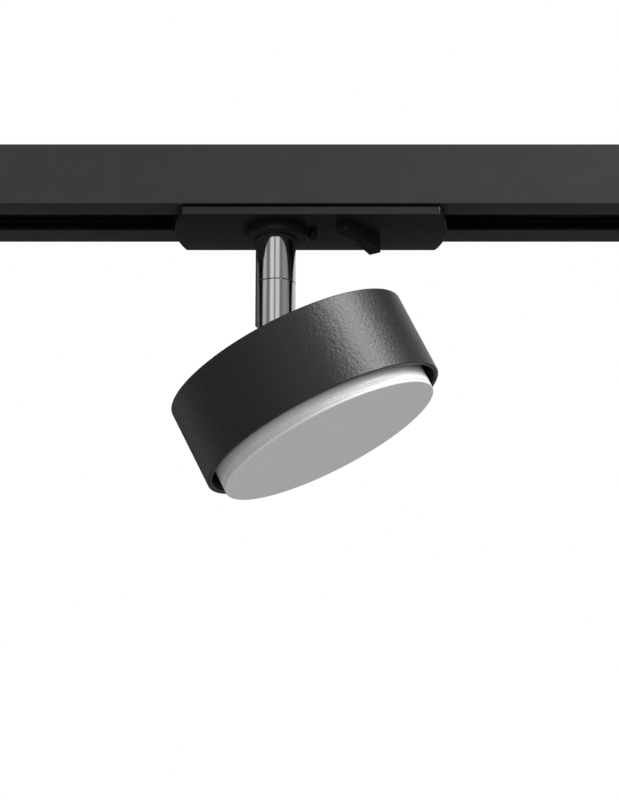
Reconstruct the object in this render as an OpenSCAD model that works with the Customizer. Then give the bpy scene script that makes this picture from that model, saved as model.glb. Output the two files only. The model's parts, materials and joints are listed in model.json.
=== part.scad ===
// Track spotlight: a drum head with a flat twist-lock lamp, on a swivelling stem, hung from
// a quarter-turn adapter in a section of single-circuit track with its live end and end cap.
// Millimetres. The origin is the middle of the track's ceiling face. X runs along the
// track, Y across it and Z up.

/* [Fits] */
// Gap between pieces that are fixed together
fit = 0.05; // [0.02:0.01:0.08]
// Gap between pieces that move past each other
play = 0.3; // [0.2:0.05:0.35]
// Extra radius of a turning bearing over its shaft
bearing_fit = 0.05; // [0.03:0.01:0.08]

/* [Track] */
// Length of the track section
track_len = 300; // [290:1:600]
// Width of the track
track_w = 34.5; // [33.5:0.1:40]
// Height of the track
track_h = 21; // [20.5:0.1:24]
// Thickness of the track's web and side walls
track_wall = 1.5; // [1:0.1:1.8]
// Width of the slot
slot_w = 14.4; // [14:0.1:15]
// Thickness of the lips beside the slot
lip_t = 1.25; // [1:0.05:1.4]
// Depth of the conductors below the ceiling face
conductor_depth = 10; // [9.8:0.1:10.6]
// Distance between the two ceiling screw holes
mount_pitch = 200; // [120:1:240]
// Radius of a ceiling screw hole
mount_hole_r = 2.25; // [1.8:0.05:3]
// Thickness of the ribs that hold the insulators
rib_t = 1.2; // [0.8:0.1:1.5]
// Depth of the ribs
rib_d = 2.5; // [1.5:0.1:3]

/* [Insulators and conductors] */
// Depth of an insulator strip, across the track
insulator_d = 4.5; // [4:0.1:5]
// Height of an insulator strip
insulator_h = 8.6; // [7.6:0.1:9]
// Thickness of the insulator's edges in front of the conductor
mouth_t = 0.8; // [0.6:0.05:1]
// Height of the opening in front of the conductor
mouth_h = 3; // [2.6:0.1:3.4]
// Thickness of a conductor strip
conductor_t = 1; // [0.6:0.1:1.4]
// Height of a conductor strip
conductor_h = 4.4; // [3.8:0.1:5]

/* [End cap] */
// Thickness of the end cap
cap_t = 2; // [1.5:0.1:3]
// Length of the cap's two legs inside the track
cap_leg = 7; // [5:0.5:9]
// Thickness of a leg
cap_leg_t = 1.5; // [1:0.1:2]

/* [Live end] */
// Length of the live end's housing, beyond the track
feed_len = 42; // [38:1:60]
// Wall thickness of the live end's housing
feed_wall = 1.6; // [1.2:0.1:2]
// Length of the tongue inside the track
tongue_len = 19; // [14:1:20]
// Height of the tongue
tongue_h = 10; // [8:0.5:11]
// Radius of the cable entry
entry_r = 3.5; // [3:0.1:4.5]
// Wall of the grommet around the cable
grommet_wall = 1.2; // [0.8:0.1:1.5]
// Width of the grommet's flanges
grommet_flange = 1.2; // [0.8:0.1:1.5]
// Thickness of a contact blade of the live end
feed_blade_t = 0.6; // [0.4:0.05:0.65]
// Height of a contact blade of the live end
feed_blade_h = 2.4; // [1.6:0.1:2.5]
// Length of the terminal block, along the track
terminal_len = 14; // [12:0.5:16]
// Height of the terminal block
terminal_h = 9; // [7:0.5:10]
// Radius of the cover's screws
feed_screw_r = 1.2; // [1:0.05:1.4]
// Width of the cord clamp, along the track
clamp_w = 6; // [4:0.5:7]
// Thickness of the cord clamp
clamp_t = 2.4; // [1.5:0.1:3]

/* [Adapter] */
// Length of the adapter plate
plate_len = 90.4; // [88:0.1:100]
// Width of the adapter plate
plate_w = 32.4; // [31:0.1:34]
// Thickness of the adapter plate
plate_t = 3.05; // [2.9:0.05:4]
// Radius of the plate's bowed ends
plate_end_r = 44; // [36:1:80]
// Radius of the plate's corners
plate_corner_r = 0.6; // [0.4:0.1:5]
// Length of the adapter's body inside the slot
house_len = 84; // [82:1:86]
// Wall thickness of the adapter's body
house_wall = 1.2; // [0.9:0.1:1.4]
// Side clearance of the adapter's body in the slot
slot_play = 0.4; // [0.3:0.05:0.5]
// Thickness of the adapter's lid
lid_t = 1.2; // [0.8:0.1:1.6]
// Distance of the lid screws from the body's ends
lid_screw_inset = 4; // [3.6:0.1:5]
// Radius of the plate screw's head
plate_head_r = 1.45; // [1.3:0.05:1.5]
// Height of the plate screw's head below the plate
plate_head_t = 2; // [1.5:0.1:2.5]
// Radius of the plate screw's shank
plate_screw_r = 1; // [0.8:0.05:1.05]
// Radius of the small screws' shanks
small_screw_r = 1.2; // [1:0.05:1.3]
// Thickness of the spring strips
spring_t = 0.4; // [0.3:0.05:0.5]

/* [Lock lever] */
// Distance of the lever's axis from the middle of the plate
lever_x = 15.65; // [15.4:0.05:17]
// Radius of the lever's disc
disc_r = 11.7; // [11:0.1:12.5]
// Thickness of the lever's disc
disc_t = 1.9; // [1.6:0.05:2]
// Gap around the lever's disc
disc_gap = 0.2; // [0.15:0.05:0.3]
// Height of the finger grip below the plate, at its tip
grip_h = 4.4; // [3.6:0.1:4.5]
// Height of the finger grip below the plate, at its heel
heel_h = 3; // [2:0.1:3.5]
// Width of the grip's tip
grip_w = 4.7; // [4:0.1:5.5]
// Width of the grip's heel
heel_w = 4.3; // [3.8:0.1:5.5]
// Width of the grip's waist
waist_w = 3.1; // [2.5:0.1:3.7]
// Distance of the grip's straight side from the lever's axis
grip_side = 2.3; // [2:0.1:2.7]
// Distance of the grip's corners from the disc's edge
grip_inset = 1.05; // [0.8:0.05:1.5]
// Turn of the grip from the track's direction
grip_angle = 55; // [40:1:90]
// Radius of the lever's hub
hub_r = 5; // [4.5:0.1:5.2]
// Width of the square drive above the hub
drive_w = 5; // [4:0.1:5.2]
// Reach of the locking wings past the slot's edge
wing_grip = 3.4; // [2.5:0.1:3.8]
// Width of the locking wings
wing_w = 9; // [8:0.1:10]
// Thickness of the locking wings
wing_t = 2.5; // [2:0.1:3]
// Thickness of the contact arms' plastic
arm_t = 2; // [1.6:0.1:2.4]
// Width of the contact arms' plastic
arm_w = 4.8; // [4:0.1:5.4]
// Thickness of a contact blade
blade_t = 0.8; // [0.6:0.05:1]
// Width of a contact blade
blade_w = 3; // [2:0.1:3.4]
// Outer radius of the contact blades' pads
pad_r = 7.2; // [6.8:0.1:8]

/* [Stem] */
// Distance of the stem's axis from the middle of the plate
stem_offset = 11.65; // [11:0.05:13]
// Radius of the stem
stem_r = 6.7; // [6.5:0.05:7.5]
// Radius of the collar
collar_r = 10.6; // [9.5:0.1:12]
// Height of the collar
collar_h = 2.55; // [2:0.05:4]
// Radius of the spindle
spindle_r = 4; // [3.9:0.05:4.2]
// Radius of the spindle's wire bore
wire_bore_r = 2.4; // [2.1:0.1:2.6]
// Distance from the plate down to the seam of the stem
seam_drop = 18.65; // [14:0.05:60]
// Distance from the seam down to the tilt axis
pivot_drop = 17.85; // [17:0.05:60]
// Width of the stem nut across its flats
nut_af = 11; // [10.5:0.1:11]
// Thickness of the stem nut
nut_t = 3; // [2:0.1:4]
// Radius of the stop pin
stop_pin_r = 0.45; // [0.35:0.05:0.45]
// Depth of the stop pin's groove
stop_groove_d = 1.2; // [0.9:0.1:1.5]
// Radius of a lead
lead_r = 0.7; // [0.5:0.05:0.75]

/* [Tilt joint] */
// Width of the slot in the stem's fork
fork_w = 6.2; // [6:0.1:6.6]
// Thickness of the bracket's tongue
bracket_t = 5; // [4.4:0.1:5]
// Radius of the tongue's round end
bracket_r = 6; // [5.4:0.1:6]
// Clearance around the tongue in the fork
fork_gap = 0.5; // [0.4:0.05:0.6]
// Furthest tilt of the head from straight down, to either side
tilt_limit = 60; // [50:1:60]
// Radius of the tilt screw
tilt_screw_r = 1.5; // [1.3:0.05:1.5]
// Radius of the friction washers
washer_r = 4.6; // [3.5:0.1:5]
// Turn of the head from straight down, at rest
rest_tilt = 26.3; // [0:0.1:55]

/* [Head] */
// Distance from the tilt axis to the top edge of the ring
head_drop = 8; // [7.8:0.1:10]
// Gap between the lamp and the ring
lamp_gap = 2.55; // [2.4:0.05:4]
// Height of the ring
ring_h = 27.8; // [27:0.1:36]
// Wall thickness of the ring
ring_wall = 1.6; // [1.2:0.1:2]
// Chamfer of the ring's edges
ring_chamfer = 0.4; // [0.2:0.1:0.6]
// Depth of the cover below the ring's top edge
cover_sink = 0.4; // [0.2:0.1:0.6]
// Thickness of the cover
cover_t = 2; // [1.8:0.1:2.4]
// Thickness of the ledge under the cover
ledge_t = 1.2; // [1:0.1:2]
// Distance of the cover screws from the inside of the ring
cover_screw_inset = 3.15; // [3.1:0.05:3.5]
// Half length of the bracket's flange
flange_x = 15; // [14:0.5:18]
// Half width of the bracket's flange
flange_y = 6; // [5:0.5:8]
// Thickness of the bracket's flange
flange_t = 1.6; // [1.2:0.1:1.6]

/* [Lampholder] */
// How much smaller the lampholder's radius is than the lamp's
holder_inset = 1.5; // [1:0.1:3]
// Height of the lampholder
holder_h = 10.45; // [10.3:0.05:10.5]
// Thickness of the lampholder's face and roof
holder_wall = 2; // [1.8:0.1:2]
// Distance between the two lamp pins
pin_pitch = 53; // [52.5:0.1:53.5]
// Turn of the lamp between insertion and lock
twist = 20; // [15:1:22]
// Distance of the holder screws from the lampholder's edge
holder_screw_inset = 7; // [5:0.5:8]

/* [Lamp] */
// Radius of the lamp
lamp_r = 37.5; // [36:0.1:38.5]
// Height of the lamp's disc, from its face to its shoulder
lamp_h = 15.96; // [15.5:0.02:16.5]
// Distance that the lamp stands out of the ring
lamp_proud = 4.66; // [2:0.02:6]
// Wall thickness of the lamp's housing
lamp_wall = 1.8; // [1.2:0.1:2]
// Radius of the lamp's boss
boss_r = 21; // [20:0.1:21]
// Height of the lamp's boss
boss_h = 8.6; // [7:0.1:8.6]
// Thickness of the diffuser
diffuser_t = 1.5; // [1:0.1:2]
// Height of the diffuser's edge, from its face to the groove behind it
diffuser_edge = 0.96; // [0.8:0.02:1.4]
// Width of the groove behind the diffuser's edge
groove_w = 0.15; // [0.1:0.05:0.3]
// Fillet of the diffuser's edge
diffuser_fillet = 0.4; // [0.2:0.05:0.6]
// Radius of a lamp pin
pin_r = 1.4; // [1.2:0.05:1.5]
// Radius of a lamp pin's head
pin_head_r = 2.6; // [2.2:0.1:2.7]
// Thickness of the light board
board_t = 1.6; // [1:0.1:2]
// Width of a light-emitting chip
chip_w = 2.8; // [2:0.1:3.5]
// Thickness of a chip
chip_t = 0.8; // [0.4:0.1:1.2]

/* [Hidden] */
$fn = 96;

// How far a joined shape sinks into its neighbour, and how far a cut runs past a face
sink = 0.1;
past = 1;

// Screws: a head, its recess and the gap between them, the driver's slot and a thread
screw_head_t = 1.1;
head_recess_r = 2.25;
head_gap = 0.15;
driver_slot = 0.3;
driver_slot_from = 0.55;
thread_len = 8;

// Track: heights, and distances from its middle plane
end_x = track_len / 2;
slot_y = slot_w / 2;
cavity_y = track_w / 2 - track_wall;
web_z = -track_wall;
lip_z = lip_t - track_h;
conductor_z = -conductor_depth;
insulator_y = cavity_y - fit - insulator_d;
conductor_y = insulator_y + mouth_t + fit;
rib_gap = insulator_h / 2 + fit;

// Live end
feed_x0 = -end_x - feed_len;
feed_x1 = -end_x - fit;
feed_inner_x0 = feed_x0 + feed_wall;
feed_inner_x1 = feed_x1 - feed_wall;
feed_y = track_w / 2 - feed_wall;
feed_lid_z = feed_wall - track_h;
tongue_y = insulator_y - play;
feed_post_r = 2.6;
feed_post_at = feed_post_r - 0.4;
// the posts beside the track stand between the earth strip and the blades
feed_posts = [[feed_inner_x0 + feed_post_at, feed_y - feed_post_at], [feed_inner_x1 - feed_post_at, 6.5]];
terminal_x1 = feed_inner_x1 - 2 * feed_post_r - 0.5;
terminal_x0 = terminal_x1 - terminal_len;
terminal_grip_x = terminal_x1 - terminal_len / 2;
terminal_y = conductor_y + 2;
terminal_top = -feed_wall - fit;
terminal_z = terminal_top - terminal_h;
terminal_hole_r = 1.4;
terminal_hole_d = terminal_len / 2 - 2;
feed_blade_y = conductor_y - fit - feed_blade_t;
strip_y = 2.5;
strip_t = 0.9;
strip_top = min(web_z, -feed_wall) - fit;
feed_blade_x1 = -end_x + tongue_len - 1;
strip_x1 = -end_x + tongue_len - 4;
entry_z = -track_h / 2;
grommet_r = entry_r + grommet_wall;
grommet_flange_r = grommet_r + 1.3;
clamp_x = (feed_inner_x0 + terminal_x0) / 2 + 1;
clamp_z = entry_z - entry_r;
clamp_y = entry_r + 5;
clamp_post_r = 2.2;
clamp_screw_y = clamp_y - clamp_post_r;
clamp_head_r = clamp_post_r - 0.2;
clamp_thread = 5;

// Adapter
stem_x = -stem_offset;
plate_top = -track_h - play;
plate_z = plate_top - plate_t;
house_x = house_len / 2;
house_y = slot_y - slot_play;
house_inner_y = house_y - house_wall;
house_z = plate_top + fit;
floor_z = house_z + house_wall;
lid_z = conductor_z + 3.4;
lid_top = lid_z + fit + lid_t;
post_r = 2.4;
plate_screw_x = stem_x + collar_r + head_gap + plate_head_r;
lid_screw_x = house_x - lid_screw_inset;
screw_hole_r = small_screw_r + fit;
plate_post_top = floor_z + 7;
plate_screw_len = 9.5;
plate_hole_r = plate_screw_r + fit;

// Lock lever
disc_top = plate_z + disc_t;
grip_reach = sqrt(pow(disc_r - grip_inset, 2) - grip_side * grip_side);
grip_slope = atan((grip_h - heel_h) / (2 * grip_reach));
hub_bore_r = hub_r + bearing_fit;
drive_hole = drive_w / 2 + fit;
wing_z = lip_z + play;
wing_reach = slot_y + wing_grip;
notch_r = max(norm([wing_reach, wing_w / 2]), conductor_y) + play;
blade_z = conductor_z - blade_t / 2;
arm_z = blade_z - fit - arm_t;
arm_reach = insulator_y - 2 * play;
blade_reach = conductor_y - 0.4;
sleeve_r = 4.4;
carrier_low = wing_z + wing_t + fit;
carrier_top = blade_z + blade_t + 0.8;
drive_top = carrier_top - 0.2;
lock_head_r = 3;
wiper_z = blade_z + blade_t + play;
wiper_w = 1.6;
wiper_y = house_inner_y - fit - wiper_w / 2;
wiper_post_x = lever_x - notch_r - 5.5;
wiper_tip_x = lever_x - 3.4;
wiper_post_z = wiper_z - 7;

// Earth spring: it stands on the lid, and its foot goes down to the earth lead
earth_x0 = stem_x - 12;
earth_x1 = earth_x0 + 10;
earth_fold_x = earth_x0 + 4;
earth_y = 1.5;
earth_low = lid_z - 3;
earth_base = lid_top + fit;
earth_pad_z = web_z - play - spring_t;
earth_lead_x = earth_x0 + spring_t + fit + lead_r;

// Stem
spindle_bore_r = spindle_r + fit;
swivel_bore_r = spindle_r + bearing_fit;
collar_z = plate_z - collar_h;
collar_sink = 0.9;
collar_gap = 0.25;
collar_edge = 0.4;
seam_z = plate_z - seam_drop;
upper_stem_z = seam_z + play / 2;
lower_stem_top = seam_z - play / 2;
pivot_z = seam_z - pivot_drop;
fork_r = bracket_r + fork_gap;
fork_top = pivot_z + fork_r;
fork_drop = 2 * stem_r;
tag_t = 0.5;
tag_r = spindle_r + 1.4;
tag_z = floor_z + fit;
nut_z = tag_z + tag_t + fit;
spindle_top = nut_z + nut_t + 0.5;
spindle_z = fork_top + 3.4;
swivel_groove_r = spindle_r - 0.7;
swivel_groove_h = 2.6;
stop_at = (swivel_bore_r + stem_r) / 2;
stop_groove_w = 2 * stop_pin_r + play;
stop_rib_w = 0.5;
stop_pin_h = 4;
swivel_screw_z = lower_stem_top - 4.4;
swivel_screw_y0 = swivel_groove_r + play;
swivel_screw_y1 = stem_r - 0.4;
swivel_socket_r = 0.75;
swivel_socket_d = 0.9;
lead_at = 1.1;
lead_top = spindle_top + 2.4;
lead_hole_r = lead_r + 0.2;
lead_bend = 1.08;

// Tilt joint
fork_y = fork_w / 2;
tilt_bore_r = tilt_screw_r + bearing_fit;
tilt_head_r = 2.75;
tilt_head_t = 1.5;
tilt_socket_r = 1.15;
tilt_socket_d = 0.9;
tilt_nut_r = 5.5 / 2 / cos(30);
tilt_nut_t = 1.7;
tilt_seat_y = fork_y + 1.4;
tilt_tail = tilt_nut_t + 0.2;
washer_t = fork_y - bracket_t / 2 - 2 * fit;

// Head: heights along the head's own axis, from the tilt axis
ring_inner_r = lamp_r + lamp_gap;
ring_r = ring_inner_r + ring_wall;
rim_w = -head_drop - ring_h;
cover_w = -head_drop - cover_sink;
cover_low = cover_w - cover_t;
ledge_w = cover_low - fit;
flange_w = cover_low - fit;
ledge_r = ring_inner_r - 1.75;
cover_r = ring_inner_r - 0.15;
cover_slot = 0.1;
cover_screw_at = ring_inner_r - cover_screw_inset;
cover_screw_len = cover_t + 1.5;
cover_angles = [30, 150, 270];
lug_r = cover_screw_inset + 0.25;
lug_w = ledge_w - 0.2;
lug_h = 2.75;
bracket_screw_x = 10.5;
bracket_recess_r = 2.5;
bracket_lead_x = 2.9;
bracket_lead_w = bracket_r - 1.6;

// Lampholder and lamp, along the head's axis
face_w = rim_w - lamp_proud;
shoulder_w = face_w + lamp_h;
holder_r = lamp_r - holder_inset;
holder_w = shoulder_w + play;
holder_top = holder_w + holder_h;
holder_roof = holder_top - 0.85;
holder_bore_r = boss_r + 0.8;
pin_at = pin_pitch / 2;
pin_slot_r = pin_r + play;
pin_seat_r = pin_slot_r + 0.05;
pin_neck_r = pin_r - 0.2;
pocket_r0 = holder_bore_r + 1.1;
pocket_r1 = 2 * pin_at - pocket_r0;
pocket_spare = 14;
pin_head_w = holder_w + holder_wall + play;
pin_head_t = 1.8;
leaf_w = pin_head_w + pin_head_t + play;
contact_t = 0.5;
contact_x = 5;
contact_y = 1.7;
contact_top = holder_roof - fit;
holder_screw_at = holder_r - holder_screw_inset;
holder_screw_r = 1.45;
holder_head_r = 2.7;
holder_head_t = 2.1;
holder_head_sink = 2.6;
holder_post_r = 3.2;
lead_run_w = flange_w - flange_t - lead_r - 0.2;
lead_end_y = pin_at - 1;
lamp_top = shoulder_w + boss_h;
lamp_inner_r = lamp_r - lamp_wall;
lamp_ledge_d = 1.5;
lamp_ledge_t = 1.2;
boss_wall = 1.5;
boss_inner_r = boss_r - boss_wall;
roof_low = shoulder_w - 1.6;
diffuser_top = face_w + diffuser_edge;
housing_low = diffuser_top + groove_w;
skirt_r = lamp_inner_r - fit;
skirt_t = 1.5;
board_w = face_w + 4.86;
board_hole_r = 2;
chip_rings = [[8, lamp_inner_r / 3], [16, 0.7 * lamp_inner_r]];
spreader_w = board_w + board_t + fit;
spreader_t = 1.2;
stop_ledge_w = spreader_w + spreader_t + fit;
driver_t = 1.2;
driver_w = roof_low - fit - driver_t;
driver_r = boss_inner_r + 2.5;
wire_x = 8;
wire_w = driver_w - lead_r - fit;

// Parts on the driver board: they fill the room in the lamp's boss
parts_w = driver_w + driver_t + fit;
parts_room = lamp_top - boss_wall - parts_w;
round_part_y = 0.46 * boss_inner_r;
coil_r = 0.2 * boss_inner_r;
coil_h = 0.86 * parts_room;
capacitor_r = 0.25 * boss_inner_r;
capacitor_h = 0.7 * parts_room;
bridge_x = 0.55 * boss_inner_r;
bridge_l = 0.28 * boss_inner_r;
bridge_h = 0.46 * parts_room;
chip_set_h = 0.34 * parts_room;

// ---------- helpers ----------

// A block between two corners
module block(low, high) {
    translate(low) cube(high - low);
}

// A flat outline in Y and Z, drawn out along X
module along_x(x0, x1) {
    translate([x0, 0, 0]) rotate([90, 0, 90]) linear_extrude(x1 - x0) children();
}

// An outline in X and Z, centred on Y
module across_y(depth) {
    rotate([90, 0, 0]) linear_extrude(depth, center = true) children();
}

// A disc between two heights
module disc(r, z0, z1) {
    translate([0, 0, z0]) cylinder(r = r, h = z1 - z0);
}

// A tube between two heights
module tube(r_out, r_in, z0, z1) {
    difference() {
        disc(r_out, z0, z1);
        disc(r_in, z0 - past, z1 + past);
    }
}

// A round lead through a list of points
module lead(points, r) {
    for (i = [0 : len(points) - 2]) {
        step = points[i + 1] - points[i];
        translate(points[i])
            rotate([0, acos(step[2] / norm(step)), atan2(step[1], step[0])])
                cylinder(r = r, h = norm(step), $fn = 24);
    }
    // the bends are a little fatter than the straights
    for (i = [1 : 1 : len(points) - 2]) translate(points[i]) sphere(r = lead_bend * r, $fn = 24);
}

// A cheese-head screw that hangs from its head: the head lies above z = 0
module screw(head_r, head_t, shank_r, shank_len) {
    difference() {
        cylinder(r = head_r, h = head_t);
        block([-head_r, -driver_slot, head_t * driver_slot_from], [head_r, driver_slot, head_t + past]);
    }
    translate([0, 0, -shank_len]) cylinder(r = shank_r, h = shank_len + sink);
}

// Both sides of the track or the lamp
module both_y() {
    children();
    mirror([0, 1, 0]) children();
}

// The lamp's two pins lie opposite each other
module both_pins() {
    for (a = [0, 180]) rotate([0, 0, a]) children();
}

// Places a piece in the head, which hangs tilted from the stem
module in_head() {
    translate([stem_x, 0, pivot_z]) rotate([0, -rest_tilt, 0]) children();
}

// Places a piece on the stem's axis
module on_stem() {
    translate([stem_x, 0, 0]) children();
}

// Places a piece on the lock lever's axis
module on_lever() {
    translate([lever_x, 0, 0]) children();
}

// Points along an arc
function arc(x, y, r, a0, a1, n) = [for (i = [0 : n]) let (a = a0 + (a1 - a0) * i / n)
    [x + r * cos(a), y + r * sin(a)]];

// Points along an arc, without its two ends
function inner_arc(x, y, r, a0, a1, n) = [for (i = [1 : n - 1]) let (a = a0 + (a1 - a0) * i / n)
    [x + r * cos(a), y + r * sin(a)]];

// ---------- track ----------

module track_outline() {
    difference() {
        translate([-track_w / 2, -track_h]) square([track_w, track_h]);
        translate([-cavity_y, lip_z]) square([2 * cavity_y, web_z - lip_z]);
        translate([-slot_y, -track_h - past]) square([slot_w, lip_t + 2]);
    }
    for (side = [-1, 1], end = [-1, 1])
        translate([side * (cavity_y - rib_d / 2 + sink), conductor_z + end * (rib_gap + rib_t / 2)])
            square([rib_d + 0.2, rib_t], center = true);
}

module track_profile() {
    color("dimgray") difference() {
        along_x(-end_x, end_x) track_outline();
        for (end = [-1, 1]) translate([end * mount_pitch / 2, 0, 0]) disc(mount_hole_r, web_z - past, 1);
    }
}

module insulator() {
    along_x(-end_x, end_x) difference() {
        translate([insulator_y, conductor_z - insulator_h / 2]) square([insulator_d, insulator_h]);
        translate([insulator_y - past, conductor_z - mouth_h / 2]) square([mouth_t + 1.1, mouth_h]);
        translate([insulator_y + mouth_t, conductor_z - conductor_h / 2 - fit])
            square([conductor_t + 2 * fit, conductor_h + 2 * fit]);
    }
}

module conductor() {
    block([-end_x, conductor_y, conductor_z - conductor_h / 2],
        [end_x, conductor_y + conductor_t, conductor_z + conductor_h / 2]);
}

module insulator_near() {
    color("#303030") mirror([0, 1, 0]) insulator();
}

module insulator_far() {
    color("#303030") insulator();
}

module conductor_live() {
    color("peru") mirror([0, 1, 0]) conductor();
}

module conductor_neutral() {
    color("peru") conductor();
}

module end_cap() {
    color("dimgray") {
        block([end_x + fit, -track_w / 2, -track_h], [end_x + fit + cap_t, track_w / 2, 0]);
        both_y() block([end_x - cap_leg, tongue_y - cap_leg_t, lip_z + play],
            [end_x + fit + sink, tongue_y, web_z - play]);
    }
}

// ---------- live end ----------

// The shape of a contact blade, or of the way for it when it is grown by a gap
module feed_blade(x0, x1, grow = 0) {
    block([x0, feed_blade_y - grow, conductor_z - feed_blade_h / 2 - grow],
        [x1, feed_blade_y + feed_blade_t + grow, conductor_z + feed_blade_h / 2 + grow]);
}

// The shape of the earth strip, or of the way for it
module earth_strip(x0, x1, grow = 0) {
    block([x0, -strip_y - grow, strip_top - strip_t - grow], [x1, strip_y + grow, strip_top + grow]);
}

// The places of the cover's four screws
module at_feed_posts() {
    for (at = feed_posts) both_y() translate([at[0], at[1], 0]) children();
}

module at_clamp_posts() {
    both_y() translate([clamp_x, clamp_screw_y, 0]) children();
}

module feed_housing() {
    color("dimgray") difference() {
        union() {
            difference() {
                block([feed_x0, -track_w / 2, -track_h], [feed_x1, track_w / 2, 0]);
                block([feed_inner_x0, -feed_y, -track_h - past], [feed_inner_x1, feed_y, -feed_wall]);
            }
            at_feed_posts() disc(feed_post_r, feed_lid_z, -feed_wall + sink);
            at_clamp_posts() disc(clamp_post_r, clamp_z + fit, -feed_wall + sink);
            block([feed_x1 - feed_wall, -tongue_y, conductor_z - tongue_h / 2],
                [-end_x + tongue_len, tongue_y, conductor_z + tongue_h / 2]);
        }
        // cable entry
        translate([feed_x0 - past, 0, entry_z]) rotate([0, 90, 0])
            cylinder(r = grommet_r + fit, h = feed_wall + 2);
        // ways for the blades and the earth strip through the end wall
        both_y() feed_blade(feed_inner_x1 - past, feed_x1 + past, fit);
        earth_strip(feed_inner_x1 - past, feed_x1 + past, fit);
        // threaded holes for the cover and the clamp
        at_feed_posts() disc(feed_screw_r + fit, feed_lid_z - past, feed_lid_z + thread_len);
        at_clamp_posts() disc(feed_screw_r + fit, clamp_z - past, clamp_z + clamp_thread);
    }
}

module feed_cover() {
    color("dimgray") difference() {
        block([feed_inner_x0 + fit, -feed_y + fit, -track_h],
            [feed_inner_x1 - fit, feed_y - fit, feed_lid_z - fit]);
        at_feed_posts() {
            disc(feed_screw_r + fit, -track_h - past, feed_lid_z + past);
            disc(head_recess_r, -track_h - past, -track_h + screw_head_t);
        }
    }
}

module feed_cover_screws() {
    color("silver") at_feed_posts() translate([0, 0, -track_h + screw_head_t - fit]) mirror([0, 0, 1])
        screw(head_recess_r - head_gap, screw_head_t - 2 * fit, feed_screw_r, thread_len - 2);
}

module feed_terminal() {
    color("ivory") difference() {
        block([terminal_x0, -terminal_y, terminal_z], [terminal_x1, terminal_y, terminal_top]);
        both_y() feed_blade(terminal_grip_x - fit, terminal_x1 + past, fit);
        earth_strip(terminal_grip_x - fit, terminal_x1 + past, fit);
        // wire entries, one for each pole
        for (y = [-1, 0, 1] * conductor_y)
            translate([terminal_x0 - past, y, terminal_z + terminal_h / 2])
                rotate([0, 90, 0]) cylinder(r = terminal_hole_r, h = terminal_hole_d + past);
    }
}

module feed_blades() {
    color("goldenrod") both_y() feed_blade(terminal_grip_x, feed_blade_x1);
}

module feed_earth_strip() {
    color("goldenrod") earth_strip(terminal_grip_x, strip_x1);
}

module entry_grommet() {
    half = feed_wall / 2 + fit;
    color("black") translate([feed_x0 + feed_wall / 2, 0, entry_z]) rotate([0, 90, 0]) difference() {
        union() {
            cylinder(r = grommet_r, h = 2 * half + 0.2, center = true);
            for (side = [-1, 1]) translate([0, 0, side * (half + grommet_flange / 2)])
                cylinder(r = grommet_flange_r, h = grommet_flange, center = true);
        }
        cylinder(r = entry_r, h = 2 * feed_wall + 4 * grommet_flange, center = true);
    }
}

module cord_clamp() {
    color("dimgray") difference() {
        block([clamp_x - clamp_w / 2, -clamp_y, clamp_z - clamp_t],
            [clamp_x + clamp_w / 2, clamp_y, clamp_z]);
        at_clamp_posts() disc(feed_screw_r + fit, clamp_z - clamp_t - past, clamp_z + past);
    }
}

module clamp_screws() {
    color("silver") at_clamp_posts() translate([0, 0, clamp_z - clamp_t - fit])
        mirror([0, 0, 1]) screw(clamp_head_r, screw_head_t, feed_screw_r, clamp_t + clamp_thread - 1);
}

// ---------- adapter ----------

function plate_points() =
    let (side_y = plate_w / 2 - plate_corner_r,
         reach = plate_end_r - plate_corner_r,
         turn = asin(side_y / reach),
         bow_x = plate_len / 2 - plate_end_r,
         corner_x = bow_x + reach * cos(turn))
    concat(
        arc(corner_x, -side_y, plate_corner_r, -90, -turn, 7),
        inner_arc(bow_x, 0, plate_end_r, -turn, turn, 12),
        arc(corner_x, side_y, plate_corner_r, turn, 90, 7),
        arc(-corner_x, side_y, plate_corner_r, 90, 180 - turn, 7),
        inner_arc(-bow_x, 0, plate_end_r, 180 - turn, 180 + turn, 12),
        arc(-corner_x, -side_y, plate_corner_r, 180 + turn, 270, 7));

module adapter_plate() {
    color("#202020") difference() {
        translate([0, 0, plate_z]) linear_extrude(plate_t) polygon(plate_points());
        on_lever() disc(disc_r + disc_gap, plate_z - past, disc_top + play);
        on_lever() disc(hub_bore_r, plate_z, plate_top + past);
        on_stem() disc(spindle_bore_r, plate_z - past, plate_top + past);
        translate([plate_screw_x, 0, 0]) disc(plate_hole_r, plate_z - past, plate_top + past);
    }
}

module adapter_body() {
    color("#303030") difference() {
        union() {
            difference() {
                block([-house_x, -house_y, house_z], [house_x, house_y, lid_z]);
                block([-house_x + house_wall, -house_inner_y, floor_z],
                    [house_x - house_wall, house_inner_y, lid_z + past]);
            }
            for (end = [-1, 1]) translate([end * lid_screw_x, 0, 0]) disc(post_r, floor_z - sink, lid_z);
            translate([plate_screw_x, 0, 0]) disc(post_r, floor_z - sink, plate_post_top);
        }
        // the sides are open where the wings and contact arms swing
        both_y() block([lever_x - notch_r, house_inner_y - fit, floor_z],
            [lever_x + notch_r, slot_w, lid_z + past]);
        on_lever() disc(hub_bore_r, house_z - past, floor_z + past);
        on_stem() disc(spindle_bore_r, house_z - past, floor_z + past);
        translate([plate_screw_x, 0, 0]) disc(plate_hole_r, house_z - past, plate_post_top + past);
        for (end = [-1, 1]) translate([end * lid_screw_x, 0, 0])
            disc(screw_hole_r, lid_z - thread_len, lid_z + past);
    }
}

module adapter_lid() {
    color("#303030") difference() {
        block([-house_x, -house_y, lid_z + fit], [house_x, house_y, lid_top]);
        for (end = [-1, 1]) translate([end * lid_screw_x, 0, 0])
            disc(screw_hole_r, lid_z - past, lid_top + past);
        block([earth_x0 - fit, -earth_y - 2 * fit, lid_z - past],
            [earth_x0 + spring_t + fit, earth_y + 2 * fit, lid_top + past]);
    }
}

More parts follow.
